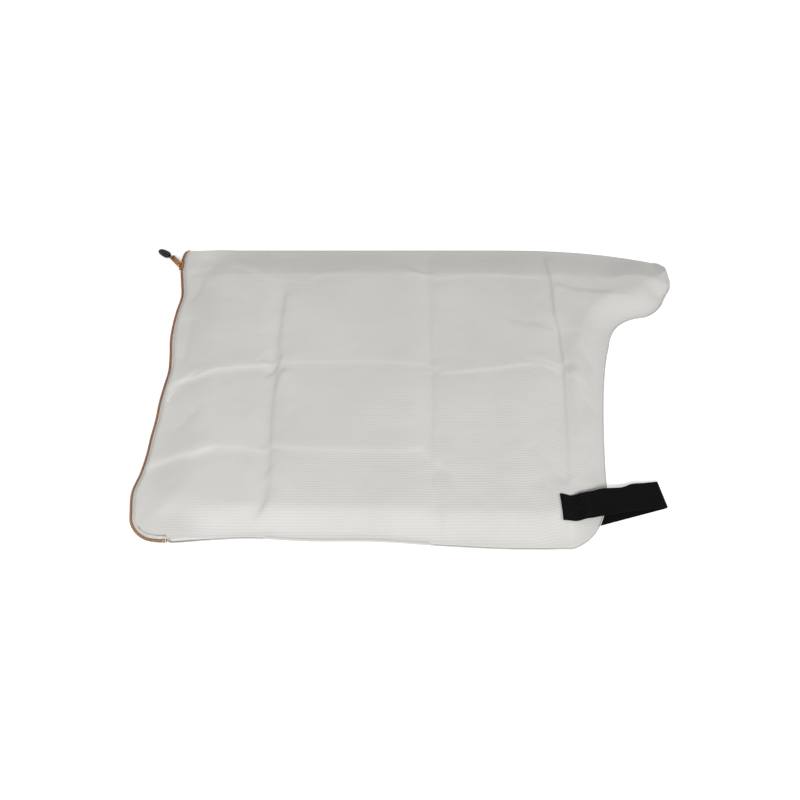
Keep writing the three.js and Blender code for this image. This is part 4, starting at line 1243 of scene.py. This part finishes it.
for _ in range(evenings):
    padded_rests = np.pad(rests, ((1, 1), (1, 1)), mode="edge")
    lengthwise = padded_rests[:-2, 1:-1] + padded_rests[2:, 1:-1]
    crosswise = padded_rests[1:-1, :-2] + padded_rests[1:-1, 2:]
    rests = np.maximum(rests, (lengthwise + crosswise) / 4)
upper[..., 2] = rests + web_thickness / 2
strap_rows = list(upper)
fold_turns = 14
for k in range(1, fold_turns + 1):
    angle = math.pi * k / fold_turns
    heading = lerp(web_turn, web_under_turn, k / fold_turns)
    out = np.array([math.cos(heading), math.sin(heading)])
    forward = out * (loop_radius * math.sin(angle) - loop_radius)
    places = web_fold + forward + np.outer(halves, [-out[1], out[0]])
    height = web_loop / 2 + loop_radius * math.cos(angle)
    strap_rows.append(np.column_stack([places, np.full(columns, height)]))
for along in np.linspace(loop_radius, web_under_length, under_rows)[1:]:
    places = web_fold - web_under * along + np.outer(halves, [-web_under[1], web_under[0]])
    strap_rows.append(np.column_stack([places, np.full(columns, web_thickness / 2)]))
strap_rows = np.array(strap_rows)
strap, i, j = new_grid("webbing_loop", len(strap_rows), columns)
strap.data.vertices.foreach_set("co", row(strap_rows[i, j]).ravel())
middle_run = strap_rows[:, columns // 2]
gone = gone_along(middle_run)
set_map(strap, gone[i] / 1000, halves[j] / 1000)
with whole_mesh():
    bpy.ops.mesh.normals_make_consistent(inside=False)
thicken(strap, web_thickness, 0)
broken_edges(strap, 0.35, 2, 60)
webbing = thread_material("black_ribbed_webbing", (0.0012, 0.0012, 0.0013),
    (0.0075, 0.0075, 0.008), 0.0026, 0.0022, 0.7, 0.8, 0.9, 0.04)
strap.data.materials.append(webbing)
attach(strap, "bag")
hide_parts("carry_strap")

# Box stitch: black thread through the webbing and the cloth, round a box and along its diagonals.
# It can't be told in the photograph's black, so it has the form that such a strap usually has.
box_from, box_to, box_half = 5, 37, 15
box_stitch_pitch, box_stitch_size = 3.0, (2.3, 0.8, 0.5)
box_corners = [(box_from, -box_half), (box_to, -box_half), (box_to, box_half)]
box_corners += [(box_from, box_half), (box_from, -box_half), (box_to, box_half)]
cross_corners = [(box_from, box_half), (box_to, -box_half)]


def on_strap(corners):
    """A line between corners on the webbing's upper end, with its normals."""
    path = []
    for (a0, s0), (a1, s1) in zip(corners[:-1], corners[1:]):
        for share in np.linspace(0, 1, 16)[:-1]:
            path.append((lerp(a0, a1, share), lerp(s0, s1, share)))
    path.append(corners[-1])
    spots = []
    for along, side in path:
        k, n = along / strap_step, (side + web_width / 2) / (web_width / (columns - 1))
        low_k, low_n = int(k), min(int(n), columns - 2)
        first = lerp(upper[low_k, low_n], upper[low_k, low_n + 1], n - low_n)
        second = lerp(upper[low_k + 1, low_n], upper[low_k + 1, low_n + 1], n - low_n)
        spots.append(lerp(first, second, k - low_k))
    return np.array(spots), np.tile([0.0, 0.0, 1.0], (len(spots), 1))


stitch_lines = [on_strap(corners) for corners in (box_corners, cross_corners)]
frames = np.concatenate(
    [stitch_frames(*line, box_stitch_pitch, web_thickness / 2) for line in stitch_lines]
)
box_stitches = repeat("box_stitches", new_stitch(*box_stitch_size), frames)
black_thread = twisted_thread("black_thread", 800.0, (0.002, 0.002, 0.0022),
    (0.012, 0.012, 0.0128), Roughness=0.8, Specular_IOR_Level=0.1)
box_stitches.data.materials.append(black_thread)
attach(box_stitches, "bag")
